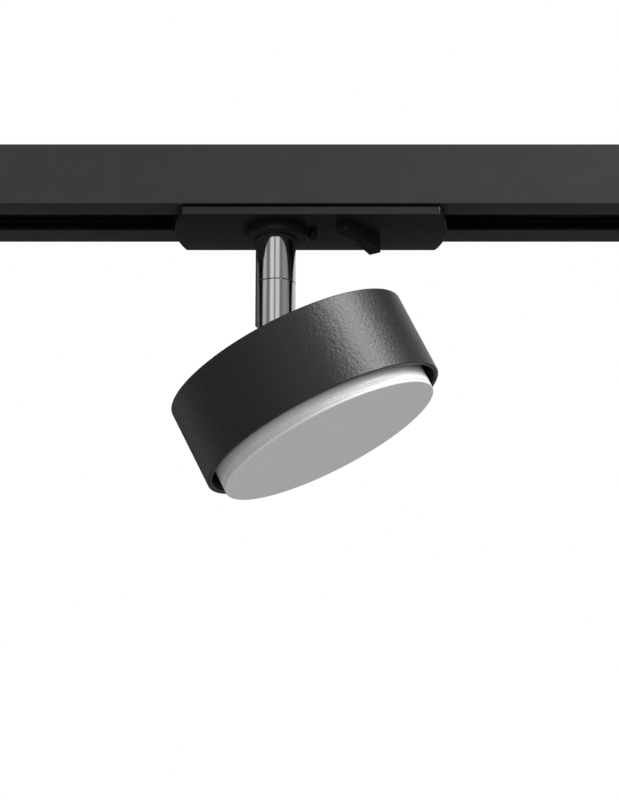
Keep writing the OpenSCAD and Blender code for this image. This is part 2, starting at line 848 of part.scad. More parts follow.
module lid_screws() {
    color("silver") for (end = [-1, 1])
        translate([end * lid_screw_x, 0, lid_top + fit])
            screw(head_recess_r, screw_head_t, small_screw_r, lid_t + thread_len - 2);
}

module plate_screw() {
    color("dimgray") translate([plate_screw_x, 0, plate_z - fit])
        mirror([0, 0, 1]) screw(plate_head_r, plate_head_t, plate_screw_r, plate_screw_len);
}

// Each wiper carries current from a contact pad to its lead, while the lever is locked
module wipers() {
    color("goldenrod") both_y() {
        block([wiper_post_x, wiper_y - wiper_w / 2, wiper_z],
            [wiper_tip_x, wiper_y + wiper_w / 2, wiper_z + spring_t]);
        block([wiper_post_x, wiper_y - wiper_w / 2, wiper_post_z],
            [wiper_post_x + spring_t, wiper_y + wiper_w / 2, wiper_z + spring_t]);
    }
}

module earth_spring() {
    color("silver") {
        block([earth_x0, -earth_y, earth_low], [earth_x0 + spring_t, earth_y, earth_base + spring_t]);
        block([earth_x0, -earth_y, earth_base], [earth_x1, earth_y, earth_base + spring_t]);
        block([earth_x1 - spring_t, -earth_y, earth_base], [earth_x1, earth_y, earth_pad_z + spring_t]);
        block([earth_fold_x, -earth_y, earth_pad_z], [earth_x1, earth_y, earth_pad_z + spring_t]);
    }
}

module earth_tag() {
    color("silver") difference() {
        union() {
            on_stem() disc(tag_r, tag_z, tag_z + tag_t);
            block([earth_x0, -earth_y, tag_z], [stem_x - spindle_bore_r - tag_t, earth_y, tag_z + tag_t]);
        }
        on_stem() disc(spindle_bore_r, tag_z - past, tag_z + tag_t + past);
    }
}

module earth_lead() {
    color("yellowgreen")
        lead([[earth_lead_x, 0, nut_z], [earth_lead_x, 0, lid_z - lead_r]], lead_r);
}

module adapter_leads() {
    x = wiper_post_x - fit - lead_r;
    color("saddlebrown") both_y() lead([
        [x, wiper_y, wiper_post_z + lead_r],
        [x, wiper_y, lead_top],
        [stem_x, lead_at, lead_top],
        [stem_x, lead_at, spindle_top + lead_r]], lead_r);
}

module stem_nut() {
    color("silver") on_stem() difference() {
        translate([0, 0, nut_z]) cylinder(r = nut_af / 2 / cos(30), h = nut_t, $fn = 6);
        disc(spindle_bore_r, nut_z - past, nut_z + nut_t + past);
    }
}

module stem_spindle() {
    color("silver") on_stem() difference() {
        disc(spindle_r, spindle_z, spindle_top);
        disc(wire_bore_r, spindle_z - past, spindle_top + past);
        tube(spindle_r + past, swivel_groove_r, swivel_screw_z - swivel_groove_h / 2,
            swivel_screw_z + swivel_groove_h / 2);
    }
}

module stem_collar() {
    color("#202020") on_stem() difference() {
        rotate_extrude() polygon([[0, plate_z - fit], [collar_r, plate_z - fit],
            [collar_r, collar_z + collar_edge], [collar_r - collar_edge, collar_z], [0, collar_z]]);
        disc(spindle_bore_r, collar_z - past, plate_z + past);
        disc(stem_r + collar_gap, collar_z - past, collar_z + collar_sink);
    }
}

module upper_stem() {
    color("gainsboro") on_stem() difference() {
        disc(stem_r, upper_stem_z, collar_z + collar_sink - fit);
        disc(spindle_bore_r, upper_stem_z - past, collar_z + 2);
        translate([0, stop_at, 0]) disc(stop_pin_r + fit, upper_stem_z - past, upper_stem_z + stop_pin_h);
    }
}

module stop_pin() {
    color("silver") on_stem() translate([0, stop_at, 0])
        disc(stop_pin_r, lower_stem_top - stop_groove_d + play, upper_stem_z + stop_pin_h - fit);
}

// ---------- lock lever ----------

// The finger grip has one straight side and a waist, and is deepest at its tip
module finger_grip() {
    waist_y = waist_w - grip_side;
    tip_y = grip_w - grip_side;
    difference() {
        translate([0, 0, plate_z - grip_h]) linear_extrude(grip_h + sink)
            polygon([[-grip_reach, -grip_side], [grip_reach, -grip_side], [grip_reach, tip_y],
                [0.4 * grip_reach, (tip_y + waist_y) / 2], [0, waist_y], [-0.45 * grip_reach, waist_y],
                [-grip_reach, heel_w - grip_side]]);
        translate([grip_reach, 0, plate_z - grip_h]) rotate([0, grip_slope, 0])
            block([-3 * disc_r, -disc_r, -grip_h], [past, disc_r, 0]);
    }
}

module lock_lever() {
    color("#202020") on_lever() difference() {
        union() {
            disc(disc_r, plate_z, disc_top);
            disc(hub_r, disc_top - sink, wing_z - fit);
            block([-drive_w / 2, -drive_w / 2, wing_z - past], [drive_w / 2, drive_w / 2, drive_top]);
            rotate(grip_angle) finger_grip();
        }
        disc(screw_hole_r, carrier_top - thread_len, carrier_top);
    }
}

module locking_wings() {
    color("silver") on_lever() difference() {
        block([-wing_w / 2, -wing_reach, wing_z], [wing_w / 2, wing_reach, wing_z + wing_t]);
        block([-drive_hole, -drive_hole, wing_z - past], [drive_hole, drive_hole, wing_z + wing_t + past]);
    }
}

module contact_carrier() {
    color("#303030") on_lever() difference() {
        union() {
            disc(hub_r, carrier_low, arm_z + sink);
            disc(pad_r, arm_z, arm_z + arm_t);
            disc(sleeve_r, arm_z, carrier_top);
            block([-arm_w / 2, -arm_reach, arm_z], [arm_w / 2, arm_reach, arm_z + arm_t]);
        }
        block([-drive_hole, -drive_hole, carrier_low - past], [drive_hole, drive_hole, carrier_top + past]);
    }
}

module contact_blades() {
    color("goldenrod") on_lever() both_y() {
        rotate([0, 0, 45]) rotate_extrude(angle = 90)
            translate([sleeve_r + fit, blade_z]) square([pad_r - sleeve_r - fit, blade_t]);
        block([-blade_w / 2, pad_r - 5 * sink, blade_z + fit],
            [blade_w / 2, blade_reach, blade_z + blade_t - fit]);
    }
}

module lock_screw() {
    color("silver") on_lever() translate([0, 0, carrier_top + fit])
        screw(lock_head_r, screw_head_t, small_screw_r, thread_len - 1);
}

// ---------- swivelling stem ----------

// The solid shape of the lower stem, with a round end about the tilt axis
module lower_stem_form() {
    disc(stem_r, pivot_z, lower_stem_top);
    intersection() {
        disc(stem_r, pivot_z - stem_r, pivot_z + past);
        translate([0, 0, pivot_z]) across_y(2 * stem_r) circle(stem_r);
    }
}

// The fork is open no higher at its sides than the tongue swings
module fork_slot() {
    across_y(fork_w) {
        circle(fork_r);
        for (turn = [-tilt_limit, tilt_limit])
            rotate(turn) translate([-fork_r, -fork_drop]) square([2 * fork_r, fork_drop]);
        translate([-fork_drop, -fork_drop]) square([2 * fork_drop, fork_drop]);
    }
}

module lower_stem() {
    color("gainsboro") on_stem() difference() {
        lower_stem_form();
        disc(swivel_bore_r, fork_top - fork_gap - play, lower_stem_top + past);
        translate([0, 0, pivot_z]) fork_slot();
        // groove for the stop pin, with one rib left in it
        difference() {
            tube(stop_at + stop_groove_w / 2, stop_at - stop_groove_w / 2,
                lower_stem_top - stop_groove_d, lower_stem_top + past);
            block([-stop_rib_w / 2, -stem_r, lower_stem_top - stop_groove_d - past],
                [stop_rib_w / 2, 0, lower_stem_top + 2]);
        }
        // threaded hole for the swivel screw
        translate([0, spindle_r - 0.5, swivel_screw_z]) rotate([-90, 0, 0])
            cylinder(r = screw_hole_r, h = stem_r);
        // tilt screw, its head and its nut
        translate([0, 0, pivot_z]) rotate([90, 0, 0]) {
            cylinder(r = tilt_bore_r, h = 4 * stem_r, center = true);
            translate([0, 0, tilt_seat_y]) cylinder(r = tilt_nut_r + head_gap, h = stem_r);
        }
        translate([0, tilt_seat_y, pivot_z]) rotate([-90, 0, 0])
            cylinder(r = tilt_head_r + head_gap, h = stem_r);
    }
}

module swivel_screw() {
    length = swivel_screw_y1 - swivel_screw_y0;
    color("dimgray") on_stem() translate([0, swivel_screw_y0, swivel_screw_z]) rotate([-90, 0, 0])
        difference() {
            cylinder(r = small_screw_r, h = length);
            translate([0, 0, length - swivel_socket_d]) cylinder(r = swivel_socket_r, h = stem_r, $fn = 6);
        }
}

module tilt_screw() {
    color("silver") on_stem() translate([0, tilt_seat_y + fit, pivot_z]) rotate([-90, 0, 0]) difference() {
        union() {
            cylinder(r = tilt_head_r, h = tilt_head_t);
            translate([0, 0, -2 * tilt_seat_y - tilt_tail])
                cylinder(r = tilt_screw_r, h = 2 * tilt_seat_y + tilt_tail + sink);
        }
        translate([0, 0, tilt_head_t - tilt_socket_d]) cylinder(r = tilt_socket_r, h = tilt_head_t, $fn = 6);
    }
}

module tilt_nut() {
    color("silver") on_stem() translate([0, -tilt_seat_y - fit, pivot_z]) rotate([90, 0, 0]) difference() {
        cylinder(r = tilt_nut_r, h = tilt_nut_t, $fn = 6);
        cylinder(r = tilt_bore_r, h = 4 * tilt_nut_t, center = true);
    }
}

module tilt_washers() {
    color("ivory") on_stem() both_y() translate([0, fork_y - fit - washer_t, pivot_z])
        rotate([-90, 0, 0]) difference() {
            cylinder(r = washer_r, h = washer_t);
            cylinder(r = tilt_bore_r, h = 4 * washer_t, center = true);
        }
}

module stem_leads() {
    color("saddlebrown") both_y()
        lead([[stem_x, lead_at, fork_top + play], [stem_x, lead_at, spindle_top + play]], lead_r);
}

// ---------- head ----------

module at_cover_screws() {
    for (a = cover_angles) rotate([0, 0, a]) translate([cover_screw_at, 0, 0]) children();
}

module head_ring() {
    c = ring_chamfer;
    top = -head_drop;
    color("#2a2a2a") in_head() difference() {
        union() {
            rotate_extrude() polygon([[ring_inner_r + c / 2, top], [ring_r - c, top], [ring_r, top - c],
                [ring_r, rim_w + c], [ring_r - c, rim_w], [ring_inner_r + c / 2, rim_w],
                [ring_inner_r, rim_w + c / 2], [ring_inner_r, ledge_w - ledge_t],
                [ledge_r, ledge_w - ledge_t], [ledge_r, ledge_w],
                [ring_inner_r, ledge_w], [ring_inner_r, top - c / 2]]);
            at_cover_screws()
                disc(lug_r, lug_w - lug_h, lug_w);
        }
        at_cover_screws()
            disc(screw_hole_r, lug_w - lug_h - past, ledge_w + past);
    }
}

module head_cover() {
    color("#2a2a2a") in_head() difference() {
        union() {
            disc(cover_r, cover_low, cover_w);
            for (side = [-1, 1]) translate([side * holder_screw_at, 0, 0])
                disc(holder_post_r, holder_top + fit, cover_low + sink);
        }
        block([-bracket_r - cover_slot, -bracket_t / 2 - cover_slot, cover_low - past],
            [bracket_r + cover_slot, bracket_t / 2 + cover_slot, cover_w + past]);
        at_cover_screws() {
            disc(screw_hole_r, cover_low - past, cover_w + past);
            disc(head_recess_r, cover_w - screw_head_t, cover_w + past);
        }
        for (side = [-1, 1]) translate([side * bracket_screw_x, 0, 0]) {
            disc(screw_hole_r, cover_low - past, cover_w + past);
            disc(bracket_recess_r, cover_w - screw_head_t, cover_w + past);
        }
        for (side = [-1, 1]) translate([side * holder_screw_at, 0, 0])
            disc(holder_screw_r + fit, holder_top - past, cover_low + past);
    }
}

module cover_screws() {
    color("#2a2a2a") in_head() at_cover_screws() translate([0, 0, cover_w - screw_head_t + fit])
        screw(head_recess_r - head_gap, screw_head_t - 2 * fit, small_screw_r, cover_screw_len);
}

module head_bracket() {
    color("silver") in_head() difference() {
        union() {
            across_y(bracket_t) {
                circle(bracket_r);
                translate([-bracket_r, flange_w - flange_t]) square([2 * bracket_r, flange_t - flange_w]);
            }
            block([-flange_x, -flange_y, flange_w - flange_t], [flange_x, flange_y, flange_w]);
        }
        rotate([90, 0, 0]) cylinder(r = tilt_bore_r, h = 2 * bracket_t, center = true);
        for (side = [-1, 1]) translate([side * bracket_lead_x, 0, 0])
            disc(lead_hole_r, flange_w - flange_t - past, bracket_r + past);
        for (side = [-1, 1]) translate([side * bracket_screw_x, 0, 0])
            disc(screw_hole_r, flange_w - flange_t - past, flange_w + past);
    }
}

module bracket_screws() {
    color("silver") in_head() for (side = [-1, 1])
        translate([side * bracket_screw_x, 0, cover_w - screw_head_t + fit])
            screw(bracket_recess_r - head_gap, screw_head_t - 2 * fit, small_screw_r,
                cover_t - screw_head_t + flange_t);
}

module lampholder() {
    color("whitesmoke") in_head() difference() {
        disc(holder_r, holder_w, holder_top);
        disc(holder_bore_r, holder_w - past, holder_top + past);
        both_pins() {
            // the pin's head goes in at one end of the slot and locks at the other
            rotate([0, 0, 90 - twist]) translate([pin_at, 0, 0])
                disc(pin_head_r + play, holder_w - past, holder_w + holder_wall + past);
            translate([0, pin_at, 0]) disc(pin_seat_r, holder_w - past, holder_w + holder_wall + past);
            rotate([0, 0, 90 - twist]) rotate_extrude(angle = twist)
                translate([pin_at - pin_slot_r, holder_w - past])
                    square([2 * pin_slot_r, holder_wall + 2]);
            rotate([0, 0, 90 - twist - pocket_spare]) rotate_extrude(angle = twist + 2 * pocket_spare)
                translate([pocket_r0, holder_w + holder_wall])
                    square([pocket_r1 - pocket_r0, holder_roof - holder_w - holder_wall]);
            translate([bracket_lead_x, lead_end_y, 0])
                disc(lead_hole_r, holder_roof - past, holder_top + past);
        }
        for (side = [-1, 1]) translate([side * holder_screw_at, 0, 0]) {
            disc(holder_screw_r + fit, holder_w - past, holder_top + past);
            disc(holder_head_r + 2 * head_gap, holder_w - past, holder_w + holder_head_sink);
        }
    }
}

// A leaf over the pin's head, a riser and a tab under the roof that takes the lead
module holder_contacts() {
    y0 = pin_at - contact_y;
    y1 = pin_at + contact_y;
    color("goldenrod") in_head() both_pins() {
        block([-contact_x, y0, leaf_w], [contact_x, y1, leaf_w + contact_t]);
        block([-contact_x, y0, leaf_w], [contact_t - contact_x, y1, contact_top]);
        block([-contact_x, y0, contact_top - contact_t], [contact_x, y1, contact_top]);
    }
}

module holder_screws() {
    color("silver") in_head() for (side = [-1, 1])
        translate([side * holder_screw_at, 0, holder_w + holder_head_sink - fit]) mirror([0, 0, 1])
            screw(holder_head_r, holder_head_t, holder_screw_r, cover_low - holder_w - holder_head_sink);
}

module head_leads() {
    color("saddlebrown") in_head() both_pins() lead([
        [bracket_lead_x, 0, bracket_lead_w],
        [bracket_lead_x, 0, lead_run_w],
        [bracket_lead_x, lead_end_y, lead_run_w],
        [bracket_lead_x, lead_end_y, holder_roof]], lead_r);
}

// ---------- lamp ----------

module lamp_housing() {
    ledge_r = lamp_inner_r - lamp_ledge_d;
    color("white") in_head() difference() {
        rotate_extrude() polygon([[0, lamp_top], [boss_r, lamp_top], [boss_r, shoulder_w],
            [lamp_r, shoulder_w], [lamp_r, housing_low], [lamp_inner_r, housing_low],
            [lamp_inner_r, stop_ledge_w], [ledge_r, stop_ledge_w],
            [ledge_r, stop_ledge_w + lamp_ledge_t], [lamp_inner_r, stop_ledge_w + lamp_ledge_t],
            [lamp_inner_r, roof_low], [boss_inner_r, roof_low],
            [boss_inner_r, lamp_top - boss_wall], [0, lamp_top - boss_wall]]);
        both_pins() translate([0, pin_at, 0]) disc(pin_neck_r, roof_low - past, shoulder_w + past);
    }
}

module lamp_diffuser() {
    f = diffuser_fillet;
    top = board_w - fit;
    edge = [for (a = [0 : 15 : 90]) [lamp_r - f + f * sin(a), face_w + f - f * cos(a)]];
    color("gainsboro") in_head() rotate_extrude() polygon(concat([[0, face_w]], edge,
        [[lamp_r, diffuser_top], [skirt_r, diffuser_top], [skirt_r, top],
         [skirt_r - skirt_t, top], [skirt_r - skirt_t, face_w + diffuser_t], [0, face_w + diffuser_t]]));
}

// Each pin is riveted through the lamp's shoulder
module lamp_pins() {
    color("silver") in_head() both_pins() translate([0, pin_at, 0]) {
        disc(pin_neck_r - fit, wire_w - lead_r, shoulder_w + sink);
        disc(pin_r, shoulder_w + fit, pin_head_w + sink);
        disc(pin_head_r, pin_head_w, pin_head_w + pin_head_t);
    }
}

module heat_spreader() {
    color("silver") in_head() difference() {
        disc(lamp_inner_r - fit, spreader_w, spreader_w + spreader_t);
        for (side = [-1, 1]) translate([side * wire_x, 0, 0])
            disc(lead_hole_r, spreader_w - past, spreader_w + spreader_t + past);
    }
}

module light_board() {
    color("white") in_head() difference() {
        disc(lamp_inner_r - 2 * fit, board_w, board_w + board_t);
        disc(board_hole_r, board_w - past, board_w + board_t + past);
    }
}

module light_chips() {
    color("gold") in_head() for (ring = chip_rings, i = [1 : ring[0]])
        rotate([0, 0, i * 360 / ring[0]]) translate([ring[1], 0, board_w - fit - chip_t / 2])
            cube([chip_w, chip_w, chip_t], center = true);
}

module driver_board() {
    color("green") in_head() difference() {
        disc(driver_r, driver_w, driver_w + driver_t);
        for (side = [-1, 1]) translate([side * wire_x, 0, 0])
            disc(lead_hole_r, driver_w - past, driver_w + driver_t + past);
    }
}

// A coil, a capacitor, a rectifier bridge and a chip
module driver_parts() {
    color("darkslategray") in_head() {
        translate([0, round_part_y, 0]) disc(coil_r, parts_w, parts_w + coil_h);
        translate([0, -round_part_y, 0]) disc(capacitor_r, parts_w, parts_w + capacitor_h);
        block([-bridge_x - bridge_l, -bridge_l / 2, parts_w], [-bridge_x, bridge_l / 2, parts_w + bridge_h]);
        block([bridge_x, -bridge_l / 2, parts_w], [bridge_x + bridge_l, bridge_l / 2, parts_w + chip_set_h]);
    }
}

module lamp_wires() {
    color("crimson") in_head() {
        for (side = [-1, 1]) lead([[side * wire_x, 0, spreader_w + fit],
            [side * wire_x, 0, driver_w + driver_t]], lead_r);
        both_pins() lead([[0, pin_at - pin_neck_r, wire_w], [0, driver_r - 5 * lead_r, wire_w]], lead_r);
    }
}

track_profile();
insulator_near();
insulator_far();
conductor_live();
conductor_neutral();
end_cap();
feed_housing();
feed_cover();
feed_cover_screws();
feed_terminal();
feed_blades();
feed_earth_strip();
entry_grommet();
cord_clamp();
clamp_screws();
adapter_plate();
adapter_body();
adapter_lid();
lid_screws();
plate_screw();
wipers();
earth_spring();
earth_tag();
earth_lead();
adapter_leads();
stem_nut();
stem_spindle();
stem_collar();
upper_stem();
stop_pin();
lock_lever();
locking_wings();
contact_carrier();
contact_blades();
lock_screw();
lower_stem();
swivel_screw();
tilt_screw();
tilt_nut();
tilt_washers();
stem_leads();
head_ring();
head_cover();
cover_screws();
head_bracket();
bracket_screws();
lampholder();
holder_contacts();
holder_screws();
head_leads();
lamp_housing();
lamp_diffuser();
lamp_pins();
heat_spreader();
light_board();
light_chips();
driver_board();
driver_parts();
lamp_wires();
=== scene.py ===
import json
import math

import bpy
from mathutils import Matrix, Vector


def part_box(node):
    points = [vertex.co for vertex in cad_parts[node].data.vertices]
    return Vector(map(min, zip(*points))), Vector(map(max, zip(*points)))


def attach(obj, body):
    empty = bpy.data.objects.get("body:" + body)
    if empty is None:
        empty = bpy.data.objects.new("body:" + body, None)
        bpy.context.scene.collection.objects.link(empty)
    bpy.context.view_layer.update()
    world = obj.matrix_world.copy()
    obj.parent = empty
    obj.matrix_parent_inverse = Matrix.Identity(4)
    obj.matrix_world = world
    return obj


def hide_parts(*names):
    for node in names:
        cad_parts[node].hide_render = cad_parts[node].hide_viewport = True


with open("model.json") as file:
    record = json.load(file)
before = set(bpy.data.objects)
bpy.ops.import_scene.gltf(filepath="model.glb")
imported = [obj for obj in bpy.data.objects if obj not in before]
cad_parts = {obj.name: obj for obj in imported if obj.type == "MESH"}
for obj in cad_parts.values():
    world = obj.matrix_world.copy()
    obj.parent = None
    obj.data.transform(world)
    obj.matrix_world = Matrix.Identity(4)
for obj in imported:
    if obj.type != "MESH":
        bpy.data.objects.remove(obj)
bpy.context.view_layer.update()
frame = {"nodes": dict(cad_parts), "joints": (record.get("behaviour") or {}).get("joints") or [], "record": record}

mm = 0.001
play = 0.05 * mm      # between pieces that sit together
weld = 0.001 * mm     # points nearer than this are one
sameLevel = 0.01 * mm
nodes = frame["nodes"]
slotOf = {part["node"]: part["material_slot"] for part in frame["record"]["subparts"]}
bodyOf = {node: body for body, members in frame["record"]["behaviour"]["bodies"].items() for node in members}
joints = {joint["name"]: joint for joint in frame["joints"]}

# the head's own axis runs up through the tilt screw, and its lamp looks down it
tiltPoint = Vector(joints["tilt"]["pos_m"])
headUp = -Vector(joints["lamp_turn"]["axis"])
inHead = Matrix.Translation(tiltPoint) @ Vector((0, 0, 1)).rotation_difference(headUp).to_matrix().to_4x4()
onStem = Matrix.Translation((tiltPoint.x, 0, 0))
onLever = Matrix.Translation((joints["lock_turn"]["pos_m"][0], 0, 0))
upright = Matrix.Identity(4)


# the camera stands below the fixture and looks up at it
camera = {
    "place": (-0.0005, -0.7182, -0.3102),
    "lookUp": 17.57,  # degrees above level
    "lens": 104.27,
    "sensor": 36,
}


def makeCamera():
    data = bpy.data.cameras.new("lowCamera")
    data.lens = camera["lens"]
    data.sensor_width = camera["sensor"]
    data.clip_start = 0.01
    data.clip_end = 60
    eye = bpy.data.objects.new("lowCamera", data)
    bpy.context.collection.objects.link(eye)
    eye.location = camera["place"]
    eye.rotation_euler = (math.radians(90 + camera["lookUp"]), 0, 0)
    bpy.context.scene.camera = eye


makeCamera()
print("camera set")


# sizes and places are measured on the CAD nodes
def localPoints(nodeName, place):
    back = place.inverted()
    return [back @ vertex.co for vertex in nodes[nodeName].data.vertices]


def heights(nodeName, place=upright):
    levels = [point.z for point in localPoints(nodeName, place)]
    return min(levels), max(levels)


def reach(nodeName, place=upright):
    return max(math.hypot(point.x, point.y) for point in localPoints(nodeName, place))


# the different values of one coordinate, from the lowest to the highest
def steps(points, axis):
    found = []
    for value in sorted(point[axis] for point in points):
        if not found or value - found[-1] > 0.02 * mm:
            found.append(value)
    return found


# finishes: a Signal is one socket, and a Finish holds one material's nodes, or the room's
class Signal:
    def __init__(self, finish, socket):
        self.finish = finish
        self.socket = socket

    def maths(self, operation, first, second):
        return self.finish.add("ShaderNodeMath", {"operation": operation}, {0: first, 1: second})

    def __add__(self, other):
        return self.maths("ADD", self, other)

    def __radd__(self, other):
        return self.maths("ADD", other, self)

    def __sub__(self, other):
        return self.maths("SUBTRACT", self, other)

    def __rsub__(self, other):
        return self.maths("SUBTRACT", other, self)

    def __mul__(self, other):
        return self.maths("MULTIPLY", self, other)

    def __rmul__(self, other):
        return self.maths("MULTIPLY", other, self)

    def __truediv__(self, other):
        return self.maths("DIVIDE", self, other)


class Finish:
    def __init__(self, name, tree=None):
        if tree is None:
            self.material = bpy.data.materials.new(name)
            self.material.use_nodes = True
            tree = self.material.node_tree
            self.shader = tree.nodes["Principled BSDF"]
        self.tree = tree

    # adds a node: its settings come first, then the values or links of its sockets
    def add(self, kind, settings=None, sockets=None, output=0):
        node = self.tree.nodes.new(kind)
        for setting, value in (settings or {}).items():
            if setting == "stops":
                self.setStops(node.color_ramp, value)
            else:
                setattr(node, setting, value)
        for socket, value in (sockets or {}).items():
            self.feed(node.inputs[socket], value)
        return Signal(self, node.outputs[output]) if node.outputs else None

    def feed(self, socket, value):
        if isinstance(value, Signal):
            self.tree.links.new(value.socket, socket)
        else:
            socket.default_value = value

    def setStops(self, ramp, stops):
        for place, colour in stops:
            stop = ramp.elements.new(place)
            stop.color = colour
        ramp.elements.remove(ramp.elements[0])
        ramp.elements.remove(ramp.elements[-1])

    def set(self, **sockets):
        for name, value in sockets.items():
            self.feed(self.shader.inputs[name.replace("_", " ")], value)

    def place(self, stretch=(1, 1, 1)):
        here = self.add("ShaderNodeTexCoord", output="Object")
        return self.add("ShaderNodeMapping", {}, {"Vector": here, "Scale": stretch})

    # size is the width of one speck, in metres
    def specks(self, size, detail=3, roughness=0.5, stretch=(1, 1, 1)):
        return self.add("ShaderNodeTexNoise", {}, {
            "Vector": self.place(stretch), "Scale": 1 / size, "Detail": detail, "Roughness": roughness})

    def cells(self, size, stretch=(1, 1, 1)):
        return self.add("ShaderNodeTexVoronoi", {"feature": "SMOOTH_F1"}, {
            "Vector": self.place(stretch), "Scale": 1 / size, "Smoothness": 0.6})

    def between(self, low, high, mask):
        return self.add("ShaderNodeMix", {"data_type": "RGBA"}, {0: mask, 6: low, 7: high}, output=2)

    def bumped(self, height, depth, strength=1.0, over=None):
        sockets = {"Height": height, "Distance": depth, "Strength": strength}
        if over:
            sockets["Normal"] = over
        return self.add("ShaderNodeBump", {}, sockets)


def grey(value, tint=(1, 1, 1)):
    return (value * tint[0], value * tint[1], value * tint[2], 1)


def shade(colour, factor):
    return (colour[0] * factor, colour[1] * factor, colour[2] * factor, 1)


# satin black on an extruded profile: long faint die lines and a soft mottle
def extrudedBlack(name):
    finish = Finish(name)
    lines = finish.specks(0.5 * mm, 2, stretch=(0.01, 1, 1))
    mottle = finish.specks(9 * mm, 4)
    fine = finish.specks(0.16 * mm, 2)
    finish.set(Base_Color=finish.between(grey(0.014), grey(0.023, (1, 1, 1.04)), mottle),
               Roughness=0.27 + 0.08 * lines + 0.04 * mottle,
               Specular_IOR_Level=0.60,
               Normal=finish.bumped(lines * 0.6 + fine * 0.4, 0.010 * mm, 0.6))
    return finish


# textured powder coat: orange peel with finer pimples on it
def powderCoat(name):
    finish = Finish(name)
    peel = finish.cells(1.25 * mm)
    pimples = finish.specks(0.65 * mm, 3, 0.6)
    mottle = finish.specks(14 * mm, 3)
    height = peel * 0.6 + pimples
    finish.set(Base_Color=finish.between(grey(0.011), grey(0.016), 0.5 * mottle + 0.5 * pimples),
               Roughness=0.31 + 0.14 * pimples,
               Normal=finish.bumped(height, 0.10 * mm, 0.9))
    return finish


# smooth semi-gloss moulding, with handling haze and a trace of texture
def glossBlack(name):
    finish = Finish(name)
    haze = finish.specks(7 * mm, 5, 0.65)
    fine = finish.specks(0.30 * mm, 3)
    split = finish.add("ShaderNodeSeparateXYZ", {}, {0: finish.place()}).socket.node
    across = Signal(finish, split.outputs[1])
    # the faces are moulded a little full across their width
    crown = finish.bumped(across * across * -1.1, 1.0)
    finish.set(Base_Color=finish.between(grey(0.010), grey(0.014), haze),
               Roughness=0.20 + 0.05 * haze + 0.03 * fine,
               Normal=finish.bumped(fine, 0.006 * mm, 0.5, crown))
    return finish


# polished plate over steel: a little haze, and faint tool lines round the bar
def chromePlate(name):
    finish = Finish(name)
    toolLines = finish.specks(0.6 * mm, 2, stretch=(0.05, 0.05, 1))
    haze = finish.specks(4 * mm, 4)
    finish.set(Base_Color=finish.between(grey(0.72, (1, 1, 1.01)), grey(0.77, (0.99, 1, 1.02)), haze),
               Metallic=1.0,
               Roughness=0.045 + 0.03 * haze + 0.02 * toolLines,
               Normal=finish.bumped(toolLines, 0.0006 * mm, 0.2))
    return finish


# unlit opal plastic: faint milky clouding and a fine matt grain
def opalPlastic(name):
    finish = Finish(name)
    clouds = finish.specks(16 * mm, 3)
    grain = finish.specks(0.25 * mm, 2)
    finish.set(Base_Color=finish.between(grey(0.73), grey(0.77), clouds),
               Roughness=0.50 + 0.12 * grain,
               Normal=finish.bumped(grain, 0.006 * mm, 0.4))
    return finish


# the other plastics, rubber and resist: a colour with mottle and grain of its own size
mouldings = {
    "black_plastic": {"colour": grey(0.020), "roughness": 0.42, "grain": 0.35, "depth": 0.014},
    "pale_plastic": {"colour": (0.74, 0.73, 0.68, 1), "roughness": 0.45, "grain": 0.5, "depth": 0.010},
    "white_plastic": {"colour": grey(0.72), "roughness": 0.36, "grain": 0.4, "depth": 0.006},
    "black_rubber": {"colour": grey(0.018), "roughness": 0.72, "grain": 0.25, "depth": 0.030},
    "white_board": {"colour": (0.82, 0.82, 0.79, 1), "roughness": 0.30, "grain": 0.8, "depth": 0.010},
    "green_board": {"colour": (0.03, 0.20, 0.07, 1), "roughness": 0.28, "grain": 0.8, "depth": 0.012},
    "phosphor": {"colour": (0.80, 0.62, 0.12, 1), "roughness": 0.35, "grain": 0.15, "depth": 0.010},
    "component_black": {"colour": (0.035, 0.035, 0.04, 1), "roughness": 0.50, "grain": 0.3, "depth": 0.012},
    "lead_brown": {"colour": (0.16, 0.055, 0.025, 1), "roughness": 0.45, "grain": 0.4, "depth": 0.008},
    "lead_earth": {"colour": (0.28, 0.42, 0.05, 1), "roughness": 0.45, "grain": 0.4, "depth": 0.008},
}


def moulded(name, recipe):
    finish = Finish(name)
    mottle = finish.specks(12 * recipe["grain"] * mm, 3)
    grain = finish.specks(recipe["grain"] * mm, 3)
    low = shade(recipe["colour"], 0.90)
    high = shade(recipe["colour"], 1.08)
    finish.set(Base_Color=finish.between(low, high, 0.6 * mottle + 0.4 * grain),
               Roughness=recipe["roughness"] - 0.05 + 0.10 * grain,
               Normal=finish.bumped(grain, recipe["depth"] * mm, 0.6))
    return finish


# the small metal parts: rolled or plated stock, with a dull patch pattern and a rolling grain
metals = {
    "black_steel": {"colour": (0.035, 0.035, 0.038, 1), "metallic": 0.6, "roughness": 0.38, "spangle": 1.5},
    "zinc_steel": {"colour": (0.58, 0.60, 0.63, 1), "metallic": 1.0, "roughness": 0.30, "spangle": 2.5},
    "bare_aluminium": {"colour": (0.70, 0.71, 0.73, 1), "metallic": 1.0, "roughness": 0.34, "spangle": 4.0},
    "brass": {"colour": (0.76, 0.54, 0.20, 1), "metallic": 1.0, "roughness": 0.26, "spangle": 2.0},
    "copper": {"colour": (0.78, 0.38, 0.22, 1), "metallic": 1.0, "roughness": 0.30, "spangle": 3.0},
}


